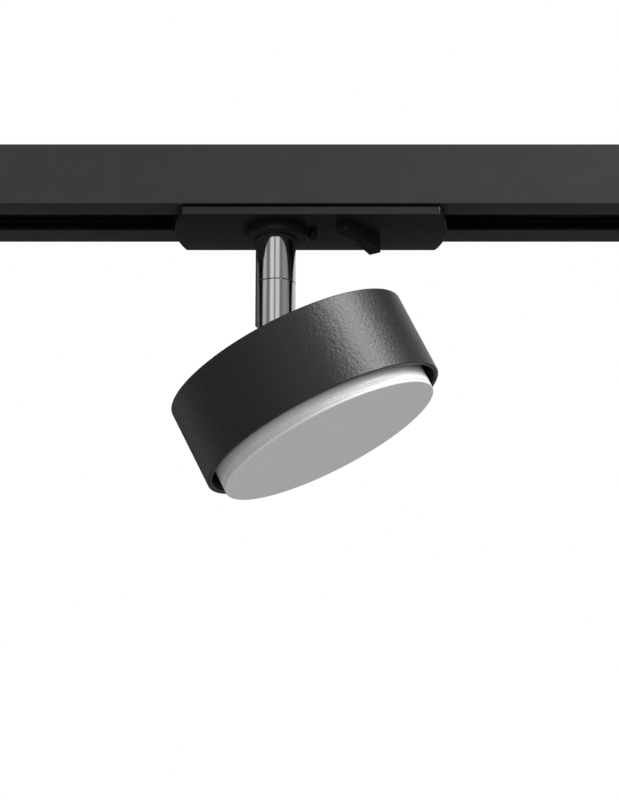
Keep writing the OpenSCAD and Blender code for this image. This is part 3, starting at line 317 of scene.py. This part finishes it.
def platedMetal(name, recipe):
    finish = Finish(name)
    patches = finish.cells(recipe["spangle"] * mm)
    rolling = finish.specks(0.2 * mm, 2, stretch=(0.1, 1, 1))
    low = shade(recipe["colour"], 0.84)
    high = shade(recipe["colour"], 1.05)
    finish.set(Base_Color=finish.between(low, high, patches),
               Metallic=recipe["metallic"],
               Roughness=recipe["roughness"] + 0.10 * patches + 0.05 * rolling,
               Normal=finish.bumped(rolling, 0.004 * mm, 0.5))
    return finish


finishes = {
    "black_aluminium": extrudedBlack("black_aluminium"),
    "black_powder_coat": powderCoat("black_powder_coat"),
    "gloss_black_plastic": glossBlack("gloss_black_plastic"),
    "chrome": chromePlate("chrome"),
    "opal_diffuser": opalPlastic("opal_diffuser"),
}
for slot, recipe in mouldings.items():
    finishes[slot] = moulded(slot, recipe)
for slot, recipe in metals.items():
    finishes[slot] = platedMetal(slot, recipe)

for nodeName, node in nodes.items():
    node.data.materials.clear()
    node.data.materials.append(finishes[slotOf[nodeName]].material)
print("finishes made:", len(finishes))


# ways of working that the pieces share
def letGo():
    if bpy.context.mode != "OBJECT":
        bpy.ops.object.mode_set(mode="OBJECT")
    bpy.ops.object.select_all(action="DESELECT")


def editing():
    bpy.ops.object.mode_set(mode="EDIT")
    bpy.ops.mesh.select_mode(type="FACE")


def done():
    bpy.ops.object.mode_set(mode="OBJECT")


# selects the faces, edges or vertices of the active piece that a test on their middle picks
def pick(kind, test):
    bpy.ops.object.mode_set(mode="EDIT")
    bpy.ops.mesh.select_mode(type=kind)
    bpy.ops.mesh.select_all(action="DESELECT")
    bpy.ops.object.mode_set(mode="OBJECT")
    mesh = bpy.context.object.data
    if kind == "FACE":
        for face in mesh.polygons:
            face.select = test(face.center, face.normal)
    elif kind == "EDGE":
        for edge in mesh.edges:
            first, second = (mesh.vertices[i].co for i in edge.vertices)
            edge.select = test((first + second) / 2, second - first)
    else:
        for vertex in mesh.vertices:
            vertex.select = test(vertex.co)
    bpy.ops.object.mode_set(mode="EDIT")


def addBlock(low, high):
    letGo()
    middle = (Vector(low) + Vector(high)) / 2
    bpy.ops.mesh.primitive_cube_add(size=1, location=middle, scale=Vector(high) - Vector(low))
    bpy.ops.object.transform_apply(location=True, rotation=True, scale=True)
    return bpy.context.object


def addDrum(radius, low, high, centre=(0, 0), sides=96):
    letGo()
    bpy.ops.mesh.primitive_cylinder_add(vertices=sides, radius=radius, depth=high - low,
                                        location=(centre[0], centre[1], (low + high) / 2))
    bpy.ops.object.transform_apply(location=True, rotation=True, scale=True)
    return bpy.context.object


# a turned piece: its first circle is drawn out through the other radii and heights
def addTurned(profile, sides=192, closed=True):
    letGo()
    radius, height = profile[0]
    bpy.ops.mesh.primitive_circle_add(vertices=sides, radius=radius, location=(0, 0, height))
    bpy.ops.object.transform_apply(location=True, rotation=True, scale=True)
    bpy.ops.object.mode_set(mode="EDIT")
    bpy.ops.mesh.select_mode(type="EDGE")
    bpy.ops.mesh.select_all(action="SELECT")
    for nextRadius, nextHeight in profile[1:] + ([profile[0]] if closed else []):
        lift = (0, 0, nextHeight - height)
        bpy.ops.mesh.extrude_edges_move(TRANSFORM_OT_translate={"value": lift})
        grow = nextRadius / radius
        bpy.ops.transform.resize(value=(grow, grow, 1), center_override=(0, 0, 0))
        radius, height = nextRadius, nextHeight
    bpy.ops.mesh.select_all(action="SELECT")
    bpy.ops.mesh.remove_doubles(threshold=weld)
    if not closed:
        bpy.ops.mesh.fill_holes(sides=0)
    bpy.ops.mesh.select_all(action="SELECT")
    bpy.ops.mesh.normals_make_consistent(inside=False)
    done()
    return bpy.context.object


# a flat outline in plan, drawn up between two heights
def addPrism(outline, low, high):
    letGo()
    bpy.ops.mesh.primitive_circle_add(vertices=len(outline), radius=mm, fill_type="NGON",
                                      location=(0, 0, low))
    bpy.ops.object.transform_apply(location=True, rotation=True, scale=True)
    for vertex, (x, y) in zip(bpy.context.object.data.vertices, outline):
        vertex.co = (x, y, low)
    editing()
    bpy.ops.mesh.select_all(action="SELECT")
    bpy.ops.mesh.extrude_region_move(TRANSFORM_OT_translate={"value": (0, 0, high - low)})
    bpy.ops.mesh.select_all(action="SELECT")
    bpy.ops.mesh.normals_make_consistent(inside=False)
    done()
    return bpy.context.object


def applyModifier(piece, kind, **settings):
    modifier = piece.modifiers.new(kind.lower(), kind)
    for setting, value in settings.items():
        setattr(modifier, setting, value)
    letGo()
    piece.select_set(True)
    bpy.context.view_layer.objects.active = piece
    bpy.ops.object.modifier_apply(modifier=modifier.name)


def cut(piece, tool, operation="DIFFERENCE"):
    applyModifier(piece, "BOOLEAN", object=tool, operation=operation, solver="EXACT")
    bpy.data.objects.remove(tool)
    return piece


def soften(piece, width, rounds=3, angle=35):
    applyModifier(piece, "BEVEL", width=width, segments=rounds, limit_method="ANGLE",
                  angle_limit=math.radians(angle), harden_normals=False)


def tidyFlats(piece):
    letGo()
    piece.select_set(True)
    bpy.context.view_layer.objects.active = piece
    editing()
    bpy.ops.mesh.select_all(action="SELECT")
    bpy.ops.mesh.remove_doubles(threshold=weld)
    bpy.ops.mesh.dissolve_limited(angle_limit=math.radians(0.5))
    done()


# names a piece, places it, and gives it its finish and the body that it rides on
def hand(piece, name, replaced, place=upright, smoothAngle=30):
    letGo()
    piece.select_set(True)
    bpy.context.view_layer.objects.active = piece
    piece.name = name
    piece.data.name = name
    piece.matrix_world = place
    bpy.ops.object.transform_apply(location=True, rotation=True, scale=True)
    bpy.ops.object.shade_smooth_by_angle(angle=math.radians(smoothAngle))
    # flats and drums stay true up to their edges
    applyModifier(piece, "WEIGHTED_NORMAL", keep_sharp=True)
    piece.data.materials.clear()
    piece.data.materials.append(finishes[slotOf[replaced]].material)
    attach(piece, bodyOf[replaced])
    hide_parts(replaced)
    return piece


# the track bar
track = {
    "edge": 0.35 * mm,
    "screwHole": 2.25 * mm,
    "screwPitch": 200 * mm,
}


def makeTrack():
    low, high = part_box("track_profile")
    ends = [point for point in localPoints("track_profile", upright) if point.x < low.x + 0.1 * mm]
    slotHalf, ribHalf, cavityHalf = [y for y in steps(ends, 1) if y > 0][:3]
    levels = steps(ends, 2)
    lipTop, webLow = levels[1], levels[-2]
    ribs = levels[2:-2]

    def solid(y, z):
        if abs(y) > cavityHalf or z > webLow:
            return True
        if z < lipTop:
            return abs(y) > slotHalf
        return abs(y) > ribHalf and (ribs[0] < z < ribs[1] or ribs[-2] < z < ribs[-1])

    letGo()
    bpy.ops.mesh.primitive_plane_add(size=1, location=(low.x, 0, (low.z + high.z) / 2),
                                     rotation=(0, math.radians(-90), 0))
    profile = bpy.context.object
    profile.scale = (high.z - low.z, high.y - low.y, 1)
    bpy.ops.object.transform_apply(location=True, rotation=True, scale=True)
    editing()
    for half in (slotHalf, ribHalf, cavityHalf):
        for y in (-half, half):
            bpy.ops.mesh.select_all(action="SELECT")
            bpy.ops.mesh.bisect(plane_co=(0, y, 0), plane_no=(0, 1, 0))
    for z in levels[1:-1]:
        bpy.ops.mesh.select_all(action="SELECT")
        bpy.ops.mesh.bisect(plane_co=(0, 0, z), plane_no=(0, 0, 1))
    pick("FACE", lambda middle, normal: not solid(middle.y, middle.z))
    bpy.ops.mesh.delete(type="FACE")
    bpy.ops.mesh.select_all(action="SELECT")
    bpy.ops.mesh.extrude_region_move(TRANSFORM_OT_translate={"value": (high.x - low.x, 0, 0)})
    bpy.ops.mesh.select_all(action="SELECT")
    bpy.ops.mesh.normals_make_consistent(inside=False)
    done()
    tidyFlats(profile)
    for end in (-1, 1):
        at = (end * track["screwPitch"] / 2, 0)
        cut(profile, addDrum(track["screwHole"], webLow - mm, high.z + mm, at, 48))
    soften(profile, track["edge"], 2)
    hand(profile, "trackBar", "track_profile")


makeTrack()
print("track made")


# the adapter plate, its collar and its lever
plate = {
    "endRadius": 44 * mm,
    "cornerRadius": 0.6 * mm,
    "topEdge": 0.55 * mm,
    "lowEdge": 0.07 * mm,
    "holeEdge": 0.06 * mm,
    "leverRadius": 11.7 * mm,
    "leverGap": 0.2 * mm,
    "discThickness": 1.9 * mm,
    "screwHole": 1.05 * mm,
}


def sweep(x, y, radius, first, last, count):
    angles = [math.radians(first + (last - first) * i / count) for i in range(count + 1)]
    return [(x + radius * math.cos(a), y + radius * math.sin(a)) for a in angles]


# straight long sides, bowed ends and rounded corners
def plateOutline(length, width):
    corner = plate["cornerRadius"]
    cornerY = width / 2 - corner
    along = plate["endRadius"] - corner
    turn = math.degrees(math.asin(cornerY / along))
    bowX = length / 2 - plate["endRadius"]
    cornerX = bowX + along * math.cos(math.radians(turn))
    right = (sweep(cornerX, -cornerY, corner, -90, -turn, 14)
             + sweep(bowX, 0, plate["endRadius"], -turn, turn, 40)[1:-1]
             + sweep(cornerX, cornerY, corner, turn, 90, 14))
    return right + [(-x, -y) for x, y in right]


def makePlate():
    low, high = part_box("adapter_plate")
    piece = addPrism(plateOutline(high.x - low.x, high.y - low.y), low.z, high.z)
    for width, level in ((plate["topEdge"], high.z), (plate["lowEdge"], low.z)):
        pick("EDGE", lambda middle, along: abs(middle.z - level) < sameLevel)
        bpy.ops.mesh.bevel(offset=width, segments=4, affect="EDGES")
        done()
    leverX = onLever.translation.x
    cut(piece, addDrum(plate["leverRadius"] + plate["leverGap"], low.z - mm,
                       low.z + plate["discThickness"] + plate["leverGap"], (leverX, 0), 128))
    cut(piece, addDrum(lever["hubRadius"] + play, low.z, high.z + mm, (leverX, 0), 64))
    cut(piece, addDrum(reach("stem_spindle", onStem) + play, low.z - mm, high.z + mm,
                       (onStem.translation.x, 0), 64))
    screwLow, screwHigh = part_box("plate_screw")
    cut(piece, addDrum(plate["screwHole"], low.z - mm, high.z + mm, (screwLow + screwHigh) / 2, 32))
    soften(piece, plate["holeEdge"], 1, 60)
    hand(piece, "adapterPlate", "adapter_plate")


collar = {
    "gap": 0.25 * mm,  # round the stem
    "edge": 0.15 * mm,
}


def makeCollar():
    low, high = heights("stem_collar", onStem)
    outer = reach("stem_collar", onStem)
    stem = reach("upper_stem", onStem)
    spindle = reach("stem_spindle", onStem)
    sink = heights("upper_stem", onStem)[1] + play
    bore = spindle + play
    recess = stem + collar["gap"]
    piece = addTurned([(bore, high), (outer, high), (outer, low),
                       (recess, low), (recess, sink), (bore, sink)])
    soften(piece, collar["edge"], 3)
    hand(piece, "stemCollar", "stem_collar", onStem)


lever = {
    "gripInset": 1.05 * mm,  # of the grip's corners, from the disc's edge
    "gripSide": 2.3 * mm,    # of its straight side, from the lever's axis
    "tipWidth": 4.7 * mm,
    "waistWidth": 3.1 * mm,
    "heelWidth": 4.3 * mm,
    "heelHeight": 3.0 * mm,
    "gripTurn": 55,
    "edge": 0.45 * mm,
    "discEdge": 0.03 * mm,
    "hubRadius": 5 * mm,
    "driveWidth": 5 * mm,
}


# the finger grip has one straight side and a waist, and is deepest at its tip
def makeGrip(bottom, plateLow):
    side = -lever["gripSide"]
    tip, waist, heel = (side + lever[part] for part in ("tipWidth", "waistWidth", "heelWidth"))
    end = math.sqrt((plate["leverRadius"] - lever["gripInset"]) ** 2 - side ** 2)
    grip = addPrism([(-end, side), (end, side), (end, tip), (0.4 * end, (tip + waist) / 2), (0, waist),
                     (-0.45 * end, waist), (-end, heel)], bottom, plateLow + mm)
    rise = plateLow - lever["heelHeight"] - bottom
    for vertex in grip.data.vertices:
        if vertex.co.z < plateLow:
            vertex.co.z = bottom + rise * (end - vertex.co.x) / (2 * end)
    soften(grip, lever["edge"], 3)
    grip.rotation_euler.z = math.radians(lever["gripTurn"])
    letGo()
    grip.select_set(True)
    bpy.context.view_layer.objects.active = grip
    bpy.ops.object.transform_apply(location=True, rotation=True, scale=True)
    return grip


def makeLever():
    bottom, top = heights("lock_lever", onLever)
    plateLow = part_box("adapter_plate")[0].z
    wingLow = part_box("locking_wings")[0].z
    discTop = plateLow + plate["discThickness"]
    disc = addDrum(plate["leverRadius"], plateLow, discTop, sides=128)
    soften(disc, lever["discEdge"], 1)
    cut(disc, addDrum(lever["hubRadius"], discTop - 0.1 * mm, wingLow, sides=64), "UNION")
    half = lever["driveWidth"] / 2
    cut(disc, addBlock((-half, -half, wingLow - 0.5 * mm), (half, half, top)), "UNION")
    cut(disc, makeGrip(bottom, plateLow), "UNION")
    hand(disc, "lockLever", "lock_lever", onLever, 25)


makePlate()
makeCollar()
makeLever()
print("adapter plate, collar and lever made")


# the stem's upper sleeve
seamEdge = 0.04 * mm


def makeUpperStem():
    low, high = heights("upper_stem", onStem)
    outer = reach("upper_stem", onStem)
    bore = reach("stem_spindle", onStem) + play
    piece = addTurned([(bore, high), (outer, high), (outer, low), (bore, low)])
    soften(piece, seamEdge, 2)
    hand(piece, "upperStem", "upper_stem", onStem)


makeUpperStem()
print("stem made")


# the head ring, with the ledge and lugs for its cover
ring = {
    "wall": 1.6 * mm,
    "edge": 0.4 * mm,
    "ledgeWidth": 1.75 * mm,
    "ledgeHeight": 1.2 * mm,
    "lugAt": 36.9 * mm,
    "lugDrop": 0.2 * mm,
    "lugHeight": 2.75 * mm,
    "lugHole": 1.25 * mm,
    "lugAngles": (30, 150, 270),
    "coverDepth": 2.4 * mm,
}


def makeRing():
    low, high = heights("head_ring", inHead)
    outer = reach("head_ring", inHead)
    inner = outer - ring["wall"]
    coverLow = high - ring["coverDepth"]
    ledge = coverLow - play
    ledgeLow = ledge - ring["ledgeHeight"]
    ledgeInner = inner - ring["ledgeWidth"]
    piece = addTurned([(inner, high), (outer, high), (outer, low), (inner, low),
                       (inner, ledgeLow), (ledgeInner, ledgeLow), (ledgeInner, ledge), (inner, ledge)],
                      sides=256)
    soften(piece, ring["edge"], 3)
    lugRadius = inner - ring["lugAt"] + 0.25 * mm
    lugTop = ledge - ring["lugDrop"]
    for angle in ring["lugAngles"]:
        turn = math.radians(angle)
        at = (ring["lugAt"] * math.cos(turn), ring["lugAt"] * math.sin(turn))
        lug = addDrum(lugRadius, lugTop - ring["lugHeight"], lugTop, at, 48)
        cut(lug, addDrum(ring["lugHole"], lugTop - 5 * mm, lugTop + mm, at, 32))
        cut(piece, lug, "UNION")
    hand(piece, "headRing", "head_ring", inHead, 25)


makeRing()
print("ring made")


# the lamp: its housing with a ribbed band, and its front
lamp = {
    "wall": 1.8 * mm,
    "ribs": 360,
    "ribHeight": 1.7 * mm,
    "ribDepth": 0.16 * mm,
    "ribsFrom": 0.25 * mm,
    "ribFade": 0.3 * mm,
    "shoulderEdge": 0.15 * mm,
    "edge": 0.5 * mm,
    "grooveDepth": 0.12 * mm,
    "bossRadius": 21 * mm,
    "roof": 1.6 * mm,
    "diffuser": 1.5 * mm,
    "skirt": 1.5 * mm,
    "seat": 1.2 * mm,
    "groove": 0.15 * mm,
    "frontEdge": 0.4 * mm,
}


def makeLampHousing():
    low, high = heights("lamp_housing", inHead)
    outer = reach("lamp_housing", inHead)
    inner = outer - lamp["wall"]
    pinLow = heights("lamp_pins", inHead)[0]
    shoulder = pinLow + lamp["roof"] + mm
    boss = lamp["bossRadius"]
    bandLow = low + lamp["ribsFrom"]
    bandHigh = bandLow + lamp["ribHeight"]
    fade = lamp["ribFade"]
    ledge = heights("heat_spreader", inHead)[1] + play
    seatTop = ledge + lamp["seat"]
    seatInner = inner - lamp["skirt"]
    bossInner = boss - lamp["skirt"]
    roofLow = shoulder - lamp["roof"]
    middle = 0.02 * mm
    slope = lamp["shoulderEdge"]
    piece = addTurned([(outer, low), (outer, bandLow), (outer, bandLow + fade), (outer, bandHigh - fade),
                       (outer, bandHigh), (outer, shoulder - lamp["edge"]),
                       (outer - slope, shoulder - slope), (outer - lamp["edge"], shoulder),
                       (boss, shoulder), (boss, high - lamp["edge"]), (boss - lamp["edge"], high),
                       (middle, high), (middle, high - lamp["skirt"]), (bossInner, high - lamp["skirt"]),
                       (bossInner, roofLow), (inner, roofLow), (inner, seatTop), (seatInner, seatTop),
                       (seatInner, ledge), (inner, ledge), (inner, low)], sides=2 * lamp["ribs"])
    sector = math.pi / lamp["ribs"]

    def inRib(co):
        onBand = bandLow + 0.5 * fade < co.z < bandHigh - 0.5 * fade
        outside = math.hypot(co.x, co.y) > outer - sameLevel
        return onBand and outside and round(math.atan2(co.y, co.x) / sector) % 2 == 0

    pick("VERT", inRib)
    shrink = 1 - lamp["ribDepth"] / outer
    bpy.ops.transform.resize(value=(shrink, shrink, 1), center_override=(0, 0, 0))
    done()
    hand(piece, "lampHousing", "lamp_housing", inHead, 20)


def makeDiffuser():
    low, high = heights("lamp_diffuser", inHead)
    outer = reach("lamp_diffuser", inHead)
    skirt = outer - lamp["wall"] - play
    skirtInner = skirt - lamp["skirt"]
    groove = lamp["groove"]
    edgeTop = heights("lamp_housing", inHead)[0] - groove
    grooveTop = edgeTop + 0.8 * groove
    grooveInner = outer - lamp["grooveDepth"]
    inside = low + lamp["diffuser"]
    curl = lamp["frontEdge"]
    turns = [math.radians(a) for a in range(0, 91, 15)]
    arc = [(outer - curl + curl * math.sin(a), low + curl - curl * math.cos(a)) for a in turns]
    piece = addTurned([(0.4 * outer, low), (0.8 * outer, low)] + arc + [
        (outer, edgeTop), (grooveInner, edgeTop), (grooveInner, grooveTop), (skirt, grooveTop),
        (skirt, high), (skirtInner, high), (skirtInner, inside), (0.4 * outer, inside)],
        sides=256, closed=False)
    hand(piece, "lampDiffuser", "lamp_diffuser", inHead)


makeLampHousing()
makeDiffuser()
print("lamp made")


# pieces whose CAD shape is right get worked edges, by width in millimetres
worked = {
    "end_cap": 0.4,
    "feed_housing": 0.4,
    "feed_cover": 0.25,
    "feed_cover_screws": 0.12,
    "entry_grommet": 0.35,
    "adapter_body": 0.2,
    "adapter_lid": 0.2,
    "plate_screw": 0.12,
    "locking_wings": 0.3,
    "lower_stem": 0.15,
    "swivel_screw": 0.08,
    "tilt_screw": 0.15,
    "tilt_nut": 0.15,
    "tilt_washers": 0.1,
    "head_cover": 0.25,
    "cover_screws": 0.12,
    "head_bracket": 0.3,
    "bracket_screws": 0.12,
    "lampholder": 0.3,
    "lamp_pins": 0.2,
}


def workEdges(nodeName, width):
    letGo()
    piece = nodes[nodeName].copy()
    piece.data = nodes[nodeName].data.copy()
    for key in list(piece.keys()):
        del piece[key]
    piece.parent = None
    bpy.context.collection.objects.link(piece)
    piece.select_set(True)
    bpy.context.view_layer.objects.active = piece
    bpy.ops.mesh.customdata_custom_splitnormals_clear()
    tidyFlats(piece)
    soften(piece, width * mm, 2, 40)
    words = nodeName.split("_")
    hand(piece, words[0] + "".join(word.capitalize() for word in words[1:]), nodeName)


for nodeName, width in worked.items():
    workEdges(nodeName, width)
print("edges worked:", len(worked))


# the floor, the room and the lights
studio = {
    "aim": (0, 0, -0.06),
    "floorLevel": -1.6,
    "floorWidth": 2.4,
    "fillAbove": 0.54,
    "fillBelow": {"left": 0.50, "right": 0.25},
    "ceiling": 0.35,  # how much of the panels is left high up
    "ceilingFrom": 0.45,
    "ceilingTo": 0.62,
    "horizonFade": 0.1,
    # the glow along the horizon, by height: 0 is straight down, 1 is straight up
    "glow": [(0.40, 0), (0.47, 1), (0.54, 1), (0.61, 0)],
    # it fades out towards the back, by the square of the turn from the camera, in whole turns
    "glowFront": 0.13,
    "glowBack": 0.20,
    "horizon": 0.45,
    # the room is darker below the horizon, by height: -1 is straight down
    "below": [(-1.0, 0.02), (-0.4, 0.03), (-0.2, 0.12)],
    # soft panels stand in a dark room, by direction: 0 is the camera, 90 its right
    "room": {"front": 0.20, "behind": 0.04, "frontEnds": 80},
    "softEdge": 8,
    "panels": [
        {"turn": -120, "width": 20, "grey": 0.12},
        {"turn": -65, "width": 15, "grey": 0.50},
        {"turn": -20, "width": 15, "grey": 0.75},
        {"turn": 10, "width": 15, "grey": 0.70},
        {"turn": 55, "width": 20, "grey": 0.28},
    ],
    "key": {"place": (1.03, -0.78, 1.06), "width": 0.85, "power": 30, "mirrored": True},
    "front": {"place": (1.4, -2.6, 0.4), "width": 1.6, "power": 23, "mirrored": False},
}


def makeFloor():
    letGo()
    bpy.ops.mesh.primitive_plane_add(size=studio["floorWidth"], location=(0, 0, studio["floorLevel"]))
    floor = bpy.context.object
    floor.name = "floor"
    paint = Finish("pale_floor")
    mottle = paint.specks(400 * mm, 3)
    paint.set(Base_Color=paint.between(grey(0.80), grey(0.84), mottle), Roughness=0.9)
    floor.data.materials.append(paint.material)


def panelStops():
    room = studio["room"]
    stops = [(-180, room["behind"])]
    for panel in studio["panels"]:
        half = panel["width"] / 2
        for side in (-1, 1):
            inner = panel["turn"] + side * half
            outer = inner + side * studio["softEdge"]
            level = room["front"] if abs(outer) < room["frontEnds"] else room["behind"]
            pair = [(inner, panel["grey"]), (outer, level)]
            stops += pair if side > 0 else pair[::-1]
    stops.append((180, room["behind"]))
    return [(degrees / 360 + 0.5, grey(value)) for degrees, value in stops]


def makeWorld():
    world = bpy.data.worlds.new("studio")
    bpy.context.scene.world = world
    world.use_nodes = True
    tree = world.node_tree
    tree.nodes.clear()
    room = Finish("studio", tree)
    direction = room.add("ShaderNodeTexCoord", output="Generated")
    split = room.add("ShaderNodeSeparateXYZ", {}, {0: direction})
    x, y, z = (Signal(room, output) for output in split.socket.node.outputs)
    # 0 and 1 are straight behind the fixture, and 0.5 is towards the camera
    around = room.add("ShaderNodeMath", {"operation": "ARCTAN2"}, {0: x, 1: -1 * y}) / (2 * math.pi) + 0.5
    panels = room.add("ShaderNodeValToRGB", {"stops": panelStops()}, {0: around})
    above = room.add("ShaderNodeMapRange", {}, {
        0: z, 1: -studio["horizonFade"], 2: studio["horizonFade"], 3: 0.0, 4: 1.0})
    depths = [(height + 1, grey(value)) for height, value in studio["below"]]
    below = room.add("ShaderNodeValToRGB", {"stops": depths}, {0: z + 1.0})
    high = room.add("ShaderNodeMapRange", {}, {
        0: z, 1: studio["ceilingFrom"], 2: studio["ceilingTo"], 3: 0.0, 4: 1.0})
    dimmed = room.between((0, 0, 0, 1), panels, studio["ceiling"])
    walls = room.between(below, room.between(panels, dimmed, high), above)
    low = [(height, grey(value)) for height, value in studio["glow"]]
    glow = room.add("ShaderNodeValToRGB", {"stops": low}, {0: z * 0.5 + 0.5})
    aside = around - 0.5
    front = room.add("ShaderNodeMapRange", {}, {
        0: aside * aside, 1: studio["glowFront"], 2: studio["glowBack"], 3: 1.0, 4: 0.0})
    surround = room.between(walls, grey(studio["horizon"]), glow * front)
    path = room.add("ShaderNodeLightPath").socket.node
    seen = Signal(room, path.outputs["Is Camera Ray"])
    mirrored = room.add("ShaderNodeMath", {"operation": "MAXIMUM"}, {
        0: Signal(room, path.outputs["Is Glossy Ray"]),
        1: Signal(room, path.outputs["Is Transmission Ray"])})
    side = 0.5 * x + 0.5
    lower = room.between(grey(studio["fillBelow"]["left"]), grey(studio["fillBelow"]["right"]), side)
    fill = room.between(lower, grey(studio["fillAbove"]), above)
    lit = room.between(fill, surround, mirrored)
    colour = room.between(lit, grey(1.0), seen)
    light = room.add("ShaderNodeBackground", {}, {"Color": colour, "Strength": 1.0})
    room.add("ShaderNodeOutputWorld", {}, {"Surface": light})


def makeLight(name):
    data = bpy.data.lights.new(name, "AREA")
    data.size = studio[name]["width"]
    data.energy = studio[name]["power"]
    light = bpy.data.objects.new(name, data)
    light.visible_glossy = studio[name]["mirrored"]
    bpy.context.collection.objects.link(light)
    light.location = studio[name]["place"]
    aim = Vector(studio["aim"]) - light.location
    light.rotation_mode = "QUATERNION"
    light.rotation_quaternion = aim.to_track_quat("-Z", "Y")


makeFloor()
makeWorld()
makeLight("key")
makeLight("front")
bpy.context.scene.view_settings.view_transform = "Standard"
print("studio made")
